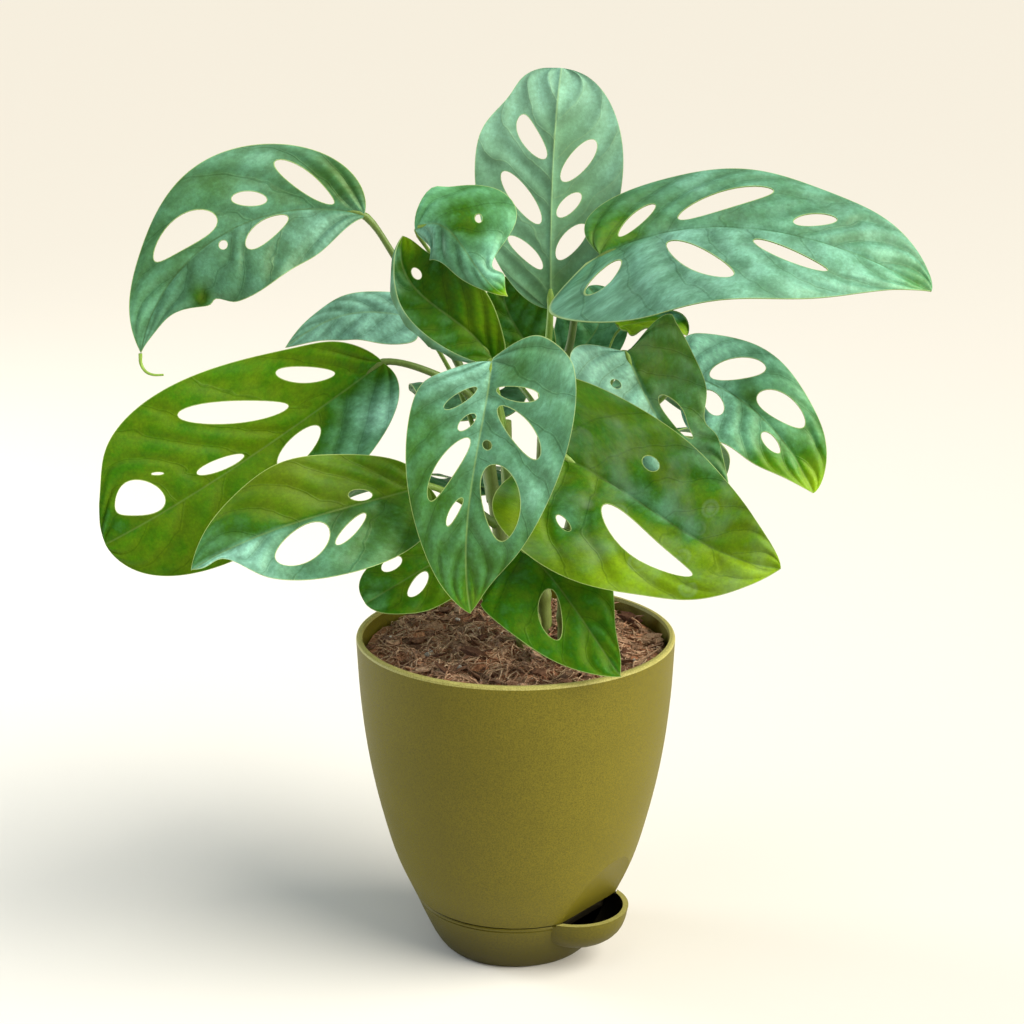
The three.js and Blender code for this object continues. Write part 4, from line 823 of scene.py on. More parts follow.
def grow_rings(rings):
    """Extrudes the chosen ring of edges on through [height, radius] pairs, of which it is the first."""
    for (height, radius), (next_height, next_radius) in zip(rings, rings[1:]):
        rise = (next_height - height) * MM
        share = next_radius / radius
        bpy.ops.mesh.extrude_region_move(TRANSFORM_OT_translate={"value": (0, 0, rise)})
        bpy.ops.transform.resize(value=(share, share, 1), center_override=(0, 0, next_height * MM))


def close_solid():
    """Merges the poles of the mesh in edit mode, turns its faces outwards and leaves edit mode."""
    bpy.ops.mesh.select_all(action="SELECT")
    bpy.ops.mesh.remove_doubles(threshold=2 * POLE * MM)
    bpy.ops.mesh.normals_make_consistent(inside=False)
    bpy.ops.object.mode_set(mode="OBJECT")


def turned(profile, sides):
    """A closed solid turned round the Z axis from [height, radius] pairs that start and end on the axis."""
    rings = [[height, max(radius, POLE)] for height, radius in profile]
    height, radius = rings[0]
    bpy.ops.object.select_all(action="DESELECT")
    bpy.ops.mesh.primitive_circle_add(vertices=sides, radius=radius * MM, location=(0, 0, height * MM))
    bpy.ops.object.transform_apply(location=True)
    bpy.ops.object.mode_set(mode="EDIT")
    grow_rings(rings)
    close_solid()
    return bpy.context.object


def drum(bottom, top, radius, sides):
    """A plain upright cylinder on the Z axis."""
    return turned([[bottom, 0], [bottom, radius], [top, radius], [top, 0]], sides)


def block(size, matrix):
    """A box of a size in millimetres, put in place by a matrix."""
    bpy.ops.object.select_all(action="DESELECT")
    bpy.ops.mesh.primitive_cube_add(size=1)
    made = bpy.context.object
    write_points(made, read_points(made) * np.array(size) * MM)
    made.data.transform(matrix)
    return made


def round_axis(angle, reach, height=0):
    """A place at an angle round the pot's axis, in millimetres out from it and up."""
    return Matrix.Rotation(angle, 4, "Z") @ Matrix.Translation([reach * MM, 0, height * MM])


def bell(away, reach):
    """A bump that is 1 in its middle and falls off over a reach."""
    return np.exp(-((away / reach) ** 2))


def slide(t, first, second, start, end):
    """Straight from first at start to second at end, and on beyond both."""
    return first * (end - t) / (end - start) + second * (t - start) / (end - start)


def curve_through(places, steps):
    """Evenly spaced points on a smooth curve through the places."""
    places = np.array(places, float)
    padded = [2 * places[0] - places[1], *places, 2 * places[-1] - places[-2]]
    leg_samples = 30
    samples = []
    for a, b, c, d in zip(padded, padded[1:], padded[2:], padded[3:]):
        legs = ((a, b), (b, c), (c, d))
        knots = np.cumsum([0.0, *(math.sqrt(np.linalg.norm(q - p)) for p, q in legs)])
        t = np.linspace(knots[1], knots[2], leg_samples)[:, None]
        first = [slide(t, p, q, knots[i], knots[i + 1]) for i, (p, q) in enumerate(legs)]
        second = [slide(t, first[i], first[i + 1], knots[i], knots[i + 2]) for i in range(2)]
        samples.append(slide(t, second[0], second[1], knots[1], knots[2]))
    line = np.concatenate(samples)
    reach = np.concatenate([[0], np.cumsum(np.linalg.norm(np.diff(line, axis=0), axis=1))])
    wanted = np.linspace(0, reach[-1], steps + 1)
    return np.stack([np.interp(wanted, reach, line[:, k]) for k in range(3)], axis=1)


def stalks(routes, roundness):
    """Round stalks as one mesh. Each route is a list of points and a list of radii, in millimetres."""
    bpy.ops.object.select_all(action="DESELECT")
    bpy.ops.curve.primitive_bezier_curve_add()
    made = bpy.context.object
    curve = made.data
    curve.splines.clear()
    curve.bevel_depth = MM
    curve.bevel_resolution = roundness
    curve.use_fill_caps = True
    for points, radii in routes:
        spline = curve.splines.new("POLY")
        spline.points.add(len(points) - 1)
        spline.points.foreach_set("co", np.hstack([np.array(points) * MM, np.ones((len(points), 1))]).ravel())
        spline.points.foreach_set("radius", np.array(radii, float))
    bpy.ops.object.convert(target="MESH")
    return bpy.context.object


# The pot

def side_radius(height):
    """The pot's outer radius at a height, on a smooth curve through its driving sizes."""
    heights, radii = np.array(POT_SIDE).T
    slopes = np.gradient(radii, heights)
    i = min(max(int(np.searchsorted(heights, height)) - 1, 0), len(heights) - 2)
    step = heights[i + 1] - heights[i]
    t = (height - heights[i]) / step
    # A cubic from one size to the next that keeps the slope at both
    return ((2 * t**3 - 3 * t**2 + 1) * radii[i] + (t**3 - 2 * t**2 + t) * step * slopes[i]
            + (3 * t**2 - 2 * t**3) * radii[i + 1] + (t**3 - t**2) * step * slopes[i + 1])


def side_profile(bottom, top, inset, step=4):
    """[height, radius] pairs up the pot's side, moved inward by an inset."""
    count = max(round((top - bottom) / step), 1)
    return [[height, side_radius(height) - inset] for height in np.linspace(bottom, top, count + 1)]


def beyond_facet(inset):
    """Everything in front of the flat facet over the fill cup, moved inward by an inset."""
    size = 120
    place = (round_axis(CUP_TURN, FACET_DISTANCE, SEAM_HEIGHT) @ Matrix.Rotation(FACET_LEAN, 4, "Y")
             @ Matrix.Translation([(size / 2 - inset) * MM, 0, 0]))
    return block([size, size, size], place)


def less_facet(piece, inset):
    """A turned solid without what lies in front of the facet."""
    cut(piece, beyond_facet(inset))
    return piece


def round_edges(piece, settings, degrees):
    """Rounds a moulding's edges that are sharper than an angle."""
    apply_modifier(piece, "BEVEL", width=settings.edge_radius, segments=2, limit_method="ANGLE",
                   angle_limit=math.radians(degrees))


def make_shell(settings):
    """The tapered shell, with its collar inside the tray, its floor and its well."""
    sides = settings.round_sides
    foot = 18
    collar = side_radius(foot) - TRAY_WALL - SEAM_GAP
    collar_wall = 1.8
    floor_thickness = 2.4
    seam = SEAM_HEIGHT + SEAM_GAP
    shell = less_facet(turned([
        [foot, 0], [foot, collar], [seam, collar], [seam, side_radius(SEAM_HEIGHT) - 0.5],
        *side_profile(seam + 0.6, 134.8, 0), [135.6, 65.1], [POT_HEIGHT, 64.4], [POT_HEIGHT, 0],
    ], sides), 0)
    inside = turned([
        [FLOOR_TOP, 0], *side_profile(FLOOR_TOP, 134.6, SHELL_WALL), [POT_HEIGHT + 1, 63.4],
        [POT_HEIGHT + 1, 0],
    ], sides)
    under_floor = drum(foot - 1, FLOOR_TOP - floor_thickness, collar - collar_wall, sides)
    cut(shell, less_facet(inside, SHELL_WALL))
    cut(shell, less_facet(under_floor, SHELL_WALL))
    cut(shell, drum(WELL_FOOT, FLOOR_TOP - 1, WELL_RADIUS, WELL_SIDES), "UNION")
    cut(shell, drum(WELL_FOOT + WELL_WALL, FLOOR_TOP + 1, WELL_RADIUS - WELL_WALL, WELL_SIDES))
    slot_count = 6
    slots = [block([6, 2.4, 9], round_axis(i * math.tau / slot_count, WELL_RADIUS - WELL_WALL / 2, 12))
             for i in range(slot_count)]
    cut(shell, join(*slots))
    drain_count = 8
    drains = []
    for i in range(drain_count):
        drain = drum(FLOOR_TOP - 4, FLOOR_TOP + 4, 1.8, 16)
        drain.data.transform(round_axis((i + 0.5) * math.tau / drain_count, 24))
        drains.append(drain)
    cut(shell, join(*drains))
    round_edges(shell, settings, 32)
    return shell


def cup_bowl(inset, top, sides):
    """The fill cup's bowl, thinned by an inset."""
    bowl = turned([
        [9 + inset, 0], [9.1 + inset, 6], [9.6 + inset, 11 - inset], [10.4 + inset, 13.5 - inset],
        [11.6 + inset * 0.8, 15.5 - inset], [13 + inset * 0.6, 17.3 - inset],
        [14.9 + inset * 0.4, 19 - inset], [17 + inset * 0.2, 20.2 - inset], [19.5, 21.1 - inset],
        [top, CUP_RADIUS - inset], [top, 0],
    ], sides)
    bowl.data.transform(round_axis(CUP_TURN, CUP_CENTRE))
    return bowl


def make_tray(settings):
    """The water tray and its fill cup, moulded in one piece."""
    sides = settings.round_sides
    seam_radius = side_radius(SEAM_HEIGHT)
    over = SEAM_HEIGHT + 4
    groove = [[GROOVE_HEIGHT + rise, side_radius(GROOVE_HEIGHT + rise) - depth]
              for rise, depth in ((-0.2, 0), (0, 0.35), (0.3, 0.35), (0.5, 0))]
    tray = turned([
        [0, 0], [0, 30], [0.4, 31], *side_profile(1.2, GROOVE_HEIGHT - 0.4, 0, 2), *groove,
        [SEAM_HEIGHT - 0.5, side_radius(SEAM_HEIGHT - 0.5)], [SEAM_HEIGHT, seam_radius - 0.5],
        [SEAM_HEIGHT, 0],
    ], sides)
    hollow = turned([
        [TRAY_WALL, 0], *side_profile(TRAY_WALL, SEAM_HEIGHT, TRAY_WALL, 3), [over, seam_radius - TRAY_WALL],
        [over, 0],
    ], sides)
    cup = cup_bowl(0, CUP_RIM, sides)
    shell_room = drum(SEAM_HEIGHT, CUP_RIM + 1, 43.5, sides)
    cut(cup, shell_room)
    cut(tray, cup, "UNION")
    cut(tray, hollow)
    scoop = cup_bowl(CUP_WALL, CUP_RIM + 2, sides)
    behind_cup = block([120, 120, 80], round_axis(CUP_TURN, -36, 20))
    cut(scoop, behind_cup)
    cut(tray, scoop)
    round_edges(tray, settings, 34)
    return tray


class PLANT_OT_make_pot(bpy.types.Operator):
    """Makes the pot's shell and its water tray"""

    bl_idname = "plant.make_pot"
    bl_label = "Make the pot"

    def execute(self, context):
        settings = context.scene.plant_pot
        plastics = [
            plastic_material("olive_plastic", settings.colour, 0.52),
            # The painted highlight of the rims
            plastic_material("olive_plastic_rim_highlight", settings.rim_highlight_colour, 0.5),
            # Painted shade, near black, for the insides
            plastic_material("olive_plastic_painted_shade", srgb(30, 26, 12), 0.45),
        ]
        side, edge, painted_shade = range(3)
        shell = make_shell(settings)
        height = face_centres(shell)[0][:, 2]
        under_seam = height < SEAM_HEIGHT + SEAM_GAP + 0.1
        # The top of the pot's rim gets the painted highlight, and the shell below the seam, inside the tray,
        # the painted shade
        paint(shell, plastics, np.where(height > POT_HEIGHT - 1.1, edge, np.where(under_seam, painted_shade, side)))
        smooth(shell, 7)
        finish_piece(shell, "pot_body", "pot_plastic", "pot_shell")
        tray = make_tray(settings)
        centres, normals = face_centres(tray)
        height = centres[:, 2]
        from_axis = np.hypot(centres[:, 0], centres[:, 1])
        to_cup = np.array([math.cos(CUP_TURN), math.sin(CUP_TURN)]) * CUP_CENTRE - centres[:, :2]
        in_bowl = (np.hypot(to_cup[:, 0], to_cup[:, 1]) < CUP_RADIUS - CUP_WALL + 0.2) & (from_axis > 37)
        looks_inward = ((to_cup * normals[:, :2]).sum(axis=1) > 0) & (normals[:, 2] > -0.05)
        # The cup's rim gets the painted highlight
        rim = (height > CUP_RIM - 0.7) & (from_axis > 42)
        inside_cup = in_bowl & (looks_inward | (normals[:, 2] > 0.7))
        wall = np.array([side_radius(each) for each in np.clip(height, 0, 135)])
        inside_tray = (from_axis < wall - TRAY_WALL / 2) & (height > TRAY_WALL / 2)
        # Painted shade inside the cup and the tray
        paint(tray, plastics, np.where(rim, edge, np.where(inside_cup | inside_tray, painted_shade, side)))
        smooth(tray, 20)
        finish_piece(tray, "tray_and_cup", "pot_plastic", "water_tray")
        return {"FINISHED"}


# The potting mix

def ground_height(x, y):
    """Height of the potting mix at a place, in millimetres: slow swells and clumps of four sizes, calmer near
    the pot's wall."""
    swell = 1.3 * math.sin(0.21 * x + 1.3) * math.cos(0.17 * y) + 0.9 * math.sin(0.31 * y - 0.13 * x) + 1.2
    clumps = sum(size * noise.noise(Vector((x, y, 3 * size)) / spread)
                 for size, spread in ((2.6, 13), (1.5, 5), (0.8, 2.2), (0.5, 1.1)))
    inner = min(max((SOIL_REACH - math.hypot(x, y)) / 8, 0), 1)
    return SOIL_TOP + swell * inner + clumps * (0.4 + 0.6 * inner)


class PLANT_OT_make_soil(bpy.types.Operator):
    """Makes the potting mix that fills the pot"""

    bl_idname = "plant.make_soil"
    bl_label = "Make the soil"

    def execute(self, context):
        settings = context.scene.plant_soil
        bpy.ops.object.select_all(action="DESELECT")
        bpy.ops.mesh.primitive_grid_add(x_subdivisions=150, y_subdivisions=150, size=2)
        soil = bpy.context.object
        square = read_points(soil) * MM
        # The square grid is drawn in to a round one
        x = square[:, 0] * np.sqrt(1 - square[:, 1] ** 2 / 2) * SOIL_REACH
        y = square[:, 1] * np.sqrt(1 - square[:, 0] ** 2 / 2) * SOIL_REACH
        z = [ground_height(*place) for place in zip(x, y)]
        write_points(soil, np.stack([x, y, z], axis=1))
        bpy.ops.object.mode_set(mode="EDIT")
        bpy.ops.mesh.select_all(action="DESELECT")
        bpy.ops.mesh.select_mode(type="EDGE")
        bpy.ops.mesh.select_non_manifold()
        bpy.ops.mesh.extrude_region_move()
        bpy.ops.object.mode_set(mode="OBJECT")
        points = read_points(soil)
        shoulder = SOIL_TOP - 3
        # The extruded copy of the rim comes after the grid's own points
        points[len(x):, 2] = shoulder
        write_points(soil, points)
        gap = 0.3
        wall = side_profile(FLOOR_TOP + gap, shoulder, SHELL_WALL, 9)
        well = WELL_RADIUS - WELL_WALL - gap
        foot = WELL_FOOT + WELL_WALL + gap
        bpy.ops.object.mode_set(mode="EDIT")
        grow_rings([[shoulder, SOIL_REACH], *[[height, radius - gap] for height, radius in reversed(wall)],
                    [FLOOR_TOP + gap, well], [foot, well], [foot, POLE]])
        close_solid()
        cut(soil, beyond_facet(SHELL_WALL + gap))
        points = read_points(soil)
        tone = [0.5 + 0.5 * noise.noise(Vector(point) / 7) + 0.07 * (point[2] - SOIL_TOP) for point in points]
        carry(soil, "tone", tone)
        damp_mix = mix_material("damp_mix", settings.ground_colour, srgb(218, 158, 120), 0.0016)
        soil.data.materials.append(damp_mix)
        smooth(soil, 60)
        finish_piece(soil, "potting_mix", "potting_mix", "soil")
        return {"FINISHED"}


def stem_clearance(x, y):
    """Distance from the nearest stem where it leaves the soil, in millimetres."""
    feet = [stem["path"][1] for stem in STEMS.values()]
    return min(math.hypot(x - foot[0], y - foot[1]) for foot in feet)


def random_place(draw):
    """A random place on the soil, clear of the stems."""
    while True:
        radius = STREW_REACH * math.sqrt(draw.random())
        angle = math.tau * draw.random()
        x, y = radius * math.cos(angle), radius * math.sin(angle)
        if stem_clearance(x, y) > STEM_ROOM:
            return x, y


class PLANT_OT_make_fibres(bpy.types.Operator):
    """Strews coir fibres over the potting mix"""

    bl_idname = "plant.make_fibres"
    bl_label = "Strew the fibres"

    def execute(self, context):
        settings = context.scene.plant_soil
        draw = random.Random(11)
        steps = 5
        routes = []
        tones = []
        for _ in range(settings.fibre_count):
            x, y = random_place(draw)
            length = draw.uniform(4, 12) * draw.choice([1, 1, 1.8])
            heading = draw.uniform(0, math.tau)
            bend = draw.gauss(0, 0.5)
            arch = draw.choice([0.2, 0.6, 1.6, 3]) * draw.random()
            thick = draw.choice([0.14, 0.18, 0.24, 0.34])
            points = []
            for k in range(steps + 1):
                inward = min(1, FIBRE_REACH / max(math.hypot(x, y), 1))
                x, y = x * inward, y * inward
                lift = arch * math.sin(math.pi * k / steps) + thick * 0.6 + 0.35 * draw.random()
                points.append([x, y, ground_height(x, y) + lift])
                x += length / steps * math.cos(heading)
                y += length / steps * math.sin(heading)
                heading += bend
                bend += draw.gauss(0, 0.22)
            radii = [thick * (1 - 0.6 * abs(2 * k / steps - 1) ** 2) for k in range(steps + 1)]
            routes.append([points, radii])
            tones.append(min(max(draw.gauss(0.4, 0.26), 0), 1))
        fibres = stalks(routes, 0)
        carry(fibres, "tone", np.repeat(tones, len(fibres.data.vertices) // len(routes)))
        coir = mix_material("coir", srgb(156, 106, 76), srgb(236, 206, 172), 0.003, 0.8)
        fibres.data.materials.append(coir)
        finish_piece(fibres, "coir_fibres", "potting_mix")
        return {"FINISHED"}


def make_lump(stretch, roughness, seed):
    """One rough lump about a millimetre across, stretched along each axis."""
    bpy.ops.object.select_all(action="DESELECT")
    bpy.ops.mesh.primitive_ico_sphere_add(subdivisions=2, radius=0.5 * MM)
    lump = bpy.context.object
    points = read_points(lump)
    dents = np.array([noise.noise(Vector(point) * 2.4 + Vector((seed, 0, 0))) for point in points])
    write_points(lump, points * (1 + roughness * dents)[:, None] * np.array(stretch))
    return lump


def strew(lumps, count, seed, size_range, rise):
    """Copies of some lumps strewn over the soil as one mesh, with a tone for each copy. A copy's middle lies
    above the soil by its size times rise. The lumps themselves are removed."""
    draw = random.Random(seed)
    shapes = []
    for lump in lumps:
        faces = [list(face.vertices) for face in lump.data.polygons]
        shapes.append((read_points(lump), faces))
        bpy.data.objects.remove(lump)
    points = []
    faces = []
    tones = []
    used = 0
    for _ in range(count):
        shape, shape_faces = draw.choice(shapes)
        x, y = random_place(draw)
        size = draw.uniform(*size_range) * draw.choice([0.6, 0.8, 1, 1.5])
        heading = Matrix.Rotation(draw.uniform(0, math.tau), 3, "Z")
        pitch = Matrix.Rotation(draw.gauss(0, 0.45), 3, "X")
        roll = Matrix.Rotation(draw.gauss(0, 0.35), 3, "Y")
        moved = shape * size @ np.array(heading @ pitch @ roll).T + [x, y, ground_height(x, y) + size * rise]
        reached = np.hypot(moved[:, 0], moved[:, 1]).max()
        if reached > CHIP_REACH:
            moved[:, :2] *= CHIP_REACH / reached
        points.append(moved)
        faces.extend([[corner + used for corner in face] for face in shape_faces])
        tones.extend([min(max(draw.gauss(0.4, 0.25), 0), 1)] * len(moved))
        used += len(moved)
    mesh = bpy.data.meshes.new("strewn")
    mesh.from_pydata((np.concatenate(points) * MM).tolist(), [], faces)
    strewn = bpy.data.objects.new("strewn", mesh)
    bpy.context.scene.collection.objects.link(strewn)
    carry(strewn, "tone", tones)
    return strewn


class PLANT_OT_make_chips(bpy.types.Operator):
    """Strews bark chips and pale grains over the potting mix"""

    bl_idname = "plant.make_chips"
    bl_label = "Strew the chips and grains"

    def execute(self, context):
        settings = context.scene.plant_soil
        stretches = [[2.6, 0.9, 0.5], [1.6, 1.1, 0.6], [3.4, 0.6, 0.4], [1.2, 1, 0.8]]
        lumps = [make_lump(stretch, 1.3, 5 * i) for i, stretch in enumerate(stretches)]
        chips = strew(lumps, settings.chip_count, 23, [1.6, 3.4], 0.18)
        bark = mix_material("bark", srgb(104, 69, 51), srgb(216, 178, 146), 0.0012)
        chips.data.materials.append(bark)
        smooth(chips, 40)
        finish_piece(chips, "bark_chips", "potting_mix")
        lumps = [make_lump([1, 0.9, 0.8], 0.7, 40)]
        grains = strew(lumps, settings.grain_count, 31, [0.9, 1.8], 0.4)
        mineral = mix_material("pale_mineral", srgb(190, 184, 172), srgb(240, 238, 230), 0.0008)
        grains.data.materials.append(mineral)
        smooth(grains, 60)
        finish_piece(grains, "pale_grains", "potting_mix")
        return {"FINISHED"}


# The stems

class PLANT_OT_make_stems(bpy.types.Operator):
    """Makes the stems, ringed at even steps along them"""

    bl_idname = "plant.make_stems"
    bl_label = "Make the stems"

    def execute(self, context):
        settings = context.scene.plant_leaves
        skin = stalk_material("stem_skin", settings.stem_colour, srgb(120, 146, 62), 0.6)
        steps = 88
        ring_step = 16
        for name, stem in STEMS.items():
            points = curve_through(stem["path"], steps)
            foot, tip = stem["radii"]
            i = np.arange(steps + 1)
            off_ring = np.minimum(i % ring_step, ring_step - i % ring_step)
            ring = 0.55 * bell(off_ring, 1.6) - 0.12 * bell(off_ring - 3, 1.2)
            piece = stalks([[points, foot + (tip - foot) * i / steps + ring]], 6)
            heights = read_points(piece)[:, 2]
            carry(piece, "tone", (heights - heights.min()) / np.ptp(heights))
            carry(piece, "light", np.ones(len(heights)))
            piece.data.materials.append(skin)
            smooth(piece, 60)
            finish_piece(piece, name.replace("stem_", "vine_"), "stem_green", name)
        return {"FINISHED"}


# The leaves

class LeafSurface:
    """A leaf's surface, over u and t as in the table of leaves."""

    def __init__(self, leaf):
        self.leaf = {**LEAF_HABIT, **leaf}
        start, third, two_thirds, end = np.array(leaf["rib"], float)
        near = (-5 * start + 18 * third - 9 * two_thirds + 2 * end) / 6
        far = (2 * start - 9 * third + 18 * two_thirds - 5 * end) / 6
        self.guides = [start, near, far, end]
        line = self.rib_point(np.linspace(0, 1, 200))
        self.length = float(np.linalg.norm(np.diff(line, axis=0), axis=1).sum())
        self.face = np.array(leaf["face"], float) / np.linalg.norm(leaf["face"])
        self.holes = [*self.leaf["holes"], *self.leaf["slits"]]

    def rib_point(self, u):
        """The midrib's point at u, which goes straight on below 0."""
        start, near, far, end = self.guides
        k = np.clip(u, 0, 1)[..., None]
        bent = (1 - k) ** 3 * start + 3 * (1 - k) ** 2 * k * near + 3 * (1 - k) * k**2 * far + k**3 * end
        return bent + np.minimum(u, 0)[..., None] * 3 * (near - start)

    def rib_way(self, u):
        """The midrib's direction at u."""
        start, near, far, end = self.guides
        k = np.clip(u, 0, 1)[..., None]
        way = (1 - k) ** 2 * (near - start) + 2 * (1 - k) * k * (far - near) + k**2 * (end - far)
        return way / np.linalg.norm(way, axis=-1, keepdims=True)

    def per_side(self, name, t):
        """A leaf's value for the side that each t is on."""
        left, right = self.leaf[name]
        return np.where(t < 0, left, right).astype(float)

    def spread(self, u, t):
        """The half width as a share of the widest one."""
        peak = self.per_side("peak", t)
        fall = self.per_side("taper", t)
        rise = fall * peak / (1 - peak)
        return u**rise * (1 - u) ** fall / (peak**rise * (1 - peak) ** fall)

    def half_width(self, u, t):
        """The half width in millimetres."""
        width = self.spread(u, t) * self.per_side("wide", t)
        for side, place, depth, reach in self.leaf["nicks"]:
            on_side = (t >= 0) == bool(side)
            width = width - np.where(on_side, depth * bell(u - place, reach), 0)
        return np.maximum(width, 0)

    def half_width_at(self, u, t):
        """The half width at one place, in millimetres."""
        return float(self.half_width(np.array([u]), np.array([t]))[0])

    def vein_count(self, u, t):
        """How many side veins lie between the petiole and a place."""
        shift = np.where(t < 0, 0.25, -0.2)
        return self.leaf["veins"] * (u - VEIN_SLANT * np.abs(t) - VEIN_BEND * t**2) + shift

    def vein_phase(self, u, t):
        """The count of side veins, pulled so that each hole lies midway between two."""
        pull = np.zeros_like(u)
        weights = np.full_like(u, 0.6)
        for hole in self.holes:
            middle_u, middle_t, *_ = self.hole_frame(hole)
            there = float(self.vein_count(np.array([middle_u]), np.array([middle_t]))[0])
            same_side = np.sign(t) == np.sign(middle_t)
            weight = bell(np.maximum(self.hole_distance(hole, u, t), 0), 5) * same_side
            pull += weight * (math.floor(there) + 0.5 - there)
            weights += weight
        return self.vein_count(u, t) + 1.6 * pull / weights

    def rolled(self, t, width):
        """The t where the rolled margin starts, the roll's radius, and how far round the roll each t lies."""
        if not self.leaf["roll"]:
            return 1.0, 0.0, 0.0
        start, radius, left, right = self.leaf["roll"]
        angle = np.radians(np.where(t < 0, left, right))
        radius = np.where(angle > 0, np.minimum(radius, width / 4), 0)
        flat_share = np.where(angle > 0, start, 1)
        return flat_share, radius, angle * np.clip((np.abs(t) - start) / (1 - start), 0, 1)

    def points(self, u, t, height):
        """The points at u and t, raised off the surface by a height."""
        out = np.abs(t)
        along = u - self.per_side("lobe", t) * out**1.6 * (1 - u) ** 3 * self.spread(u, t)
        way = self.rib_way(along)
        sideways = np.cross(way, self.face)
        sideways /= np.linalg.norm(sideways, axis=-1, keepdims=True)
        up = np.cross(sideways, way)
        lift = np.radians(self.per_side("lift", t))
        curl = np.radians(self.per_side("curl", t))
        width = self.half_width(u, t)
        flat_share, radius, turn = self.rolled(t, width)
        slope = lift + curl * np.minimum(out / flat_share, 1)
        outward = (np.sin(slope) - np.sin(lift)) / curl * (width - radius)
        upward = (np.cos(lift) - np.cos(slope)) / curl * (width - radius)
        outward = outward + radius * (np.sin(slope + turn) - np.sin(slope))
        upward = upward + radius * (np.cos(slope) - np.cos(slope + turn))
        slope = slope + turn
        sway, waves, wave_start = self.leaf["wave"]
        ripple = np.sin(math.tau * (waves * u + wave_start) + 1.3 * (t < 0))
        upward = upward + sway * t**2 * ripple * np.minimum(width / 10, 1)
        sign = np.where(t < 0, -1, 1)
        normal = up * np.cos(slope)[:, None] - sideways * (sign * np.sin(slope))[:, None]
        middle = self.rib_point(along)
        return middle + sideways * (sign * outward)[:, None] + up * upward[:, None] + normal * height[:, None]

    def hole_frame(self, hole):
        """A hole's middle and half length, in u and t, and the blade's half width there."""
        u1, t1, u2, t2, _ = hole
        middle_u, middle_t = (u1 + u2) / 2, (t1 + t2) / 2
        return middle_u, middle_t, (u2 - u1) / 2, (t2 - t1) / 2, self.half_width_at(middle_u, middle_t)

    def hole_ring(self, hole, count):
        """The places round one hole, in u and t."""
        middle_u, middle_t, half_u, half_t, spread = self.hole_frame(hole)
        reach = math.hypot(half_u * self.length, half_t * spread)
        angle = np.linspace(0, math.tau, count, endpoint=False)
        along = np.cos(angle)
        across = np.sin(angle) * (hole[4] / 2) / reach
        u = middle_u + half_u * along - half_t * spread / self.length * across
        t = middle_t + half_t * along + half_u * self.length / spread * across
        return np.stack([u, t], axis=1)

    def hole_distance(self, hole, u, t):
        """About how far places lie outside one hole, in millimetres."""
        middle_u, middle_t, half_u, half_t, spread = self.hole_frame(hole)
        flat = np.stack([(u - middle_u) * self.length, (t - middle_t) * spread], axis=1)
        axis = np.array([half_u * self.length, half_t * spread])
        reach = np.linalg.norm(axis)
        half = hole[4] / 2
        along = flat @ axis / reach
        across = flat @ np.array([-axis[1], axis[0]]) / reach
        share = np.hypot(along / reach, across / half)
        return (share - 1) * share / np.maximum(np.hypot(along / reach**2, across / half**2), 1e-6)


def hole_tool(surface, widest):
    """Upright cutters for all the holes of a blade that is still flat, as one mesh."""
    sides = 32
    cutters = []
    for hole in surface.holes:
        bpy.ops.object.select_all(action="DESELECT")
        bpy.ops.mesh.primitive_cylinder_add(vertices=sides, radius=MM, depth=4 * MM)
        cutter = bpy.context.object
        points = read_points(cutter)
        turn = np.arctan2(points[:, 1], points[:, 0])
        step = np.round(turn / math.tau * sides).astype(int) % sides
        points[:, :2] = surface.hole_ring(hole, sides)[step] * [surface.length, widest]
        write_points(cutter, points)
        cutters.append(cutter)
    tool = join(*cutters)
    bpy.ops.object.mode_set(mode="EDIT")
    bpy.ops.mesh.select_all(action="SELECT")
    bpy.ops.mesh.normals_make_consistent(inside=False)
    bpy.ops.object.mode_set(mode="OBJECT")
    return tool


def make_flat_blade(surface, settings):
    """A flat slab as long as the midrib and as wide as the wider half on both sides, with its holes cut."""
    cell = settings.cell / MM
    widest = max(surface.leaf["wide"])
    along_steps = max(round(surface.length / cell), 24)
    across_steps = 2 * max(round(widest / cell), 10)
    bpy.ops.object.select_all(action="DESELECT")
    bpy.ops.mesh.primitive_grid_add(x_subdivisions=along_steps, y_subdivisions=across_steps, size=2)
    blade = bpy.context.object
    grid = read_points(blade) * MM
    u = (1 - np.cos(np.pi * (grid[:, 0] + 1) / 2)) / 2
    write_points(blade, np.stack([u * surface.length, grid[:, 1] * widest, 0 * u], axis=1))
    apply_modifier(blade, "SOLIDIFY", thickness=settings.blade_thickness, offset=0)
    if surface.holes:
        cut(blade, hole_tool(surface, widest))
    return blade


def blade_shades(surface, u, rib):
    """The tone and the painted light and shade at places u and a distance from the midrib."""
    leaf = surface.leaf
    to_right = np.clip(rib / 3 + 0.5, 0, 1)
    shades = {}
    for name in ("tone", "light"):
        left_base, left_tip, right_base, right_tip = leaf[name]
        left = left_base * (1 - u) + left_tip * u
        right = right_base * (1 - u) + right_tip * u
        shades[name] = left * (1 - to_right) + right * to_right
    for place_u, place_t, reach, tone, light in leaf["patches"]:
        place_rib = place_t * surface.half_width_at(place_u, place_t)
        weight = bell(np.hypot((u - place_u) * surface.length, rib - place_rib), reach)
        shades["tone"] += tone * weight
        shades["light"] += light * weight
    return shades


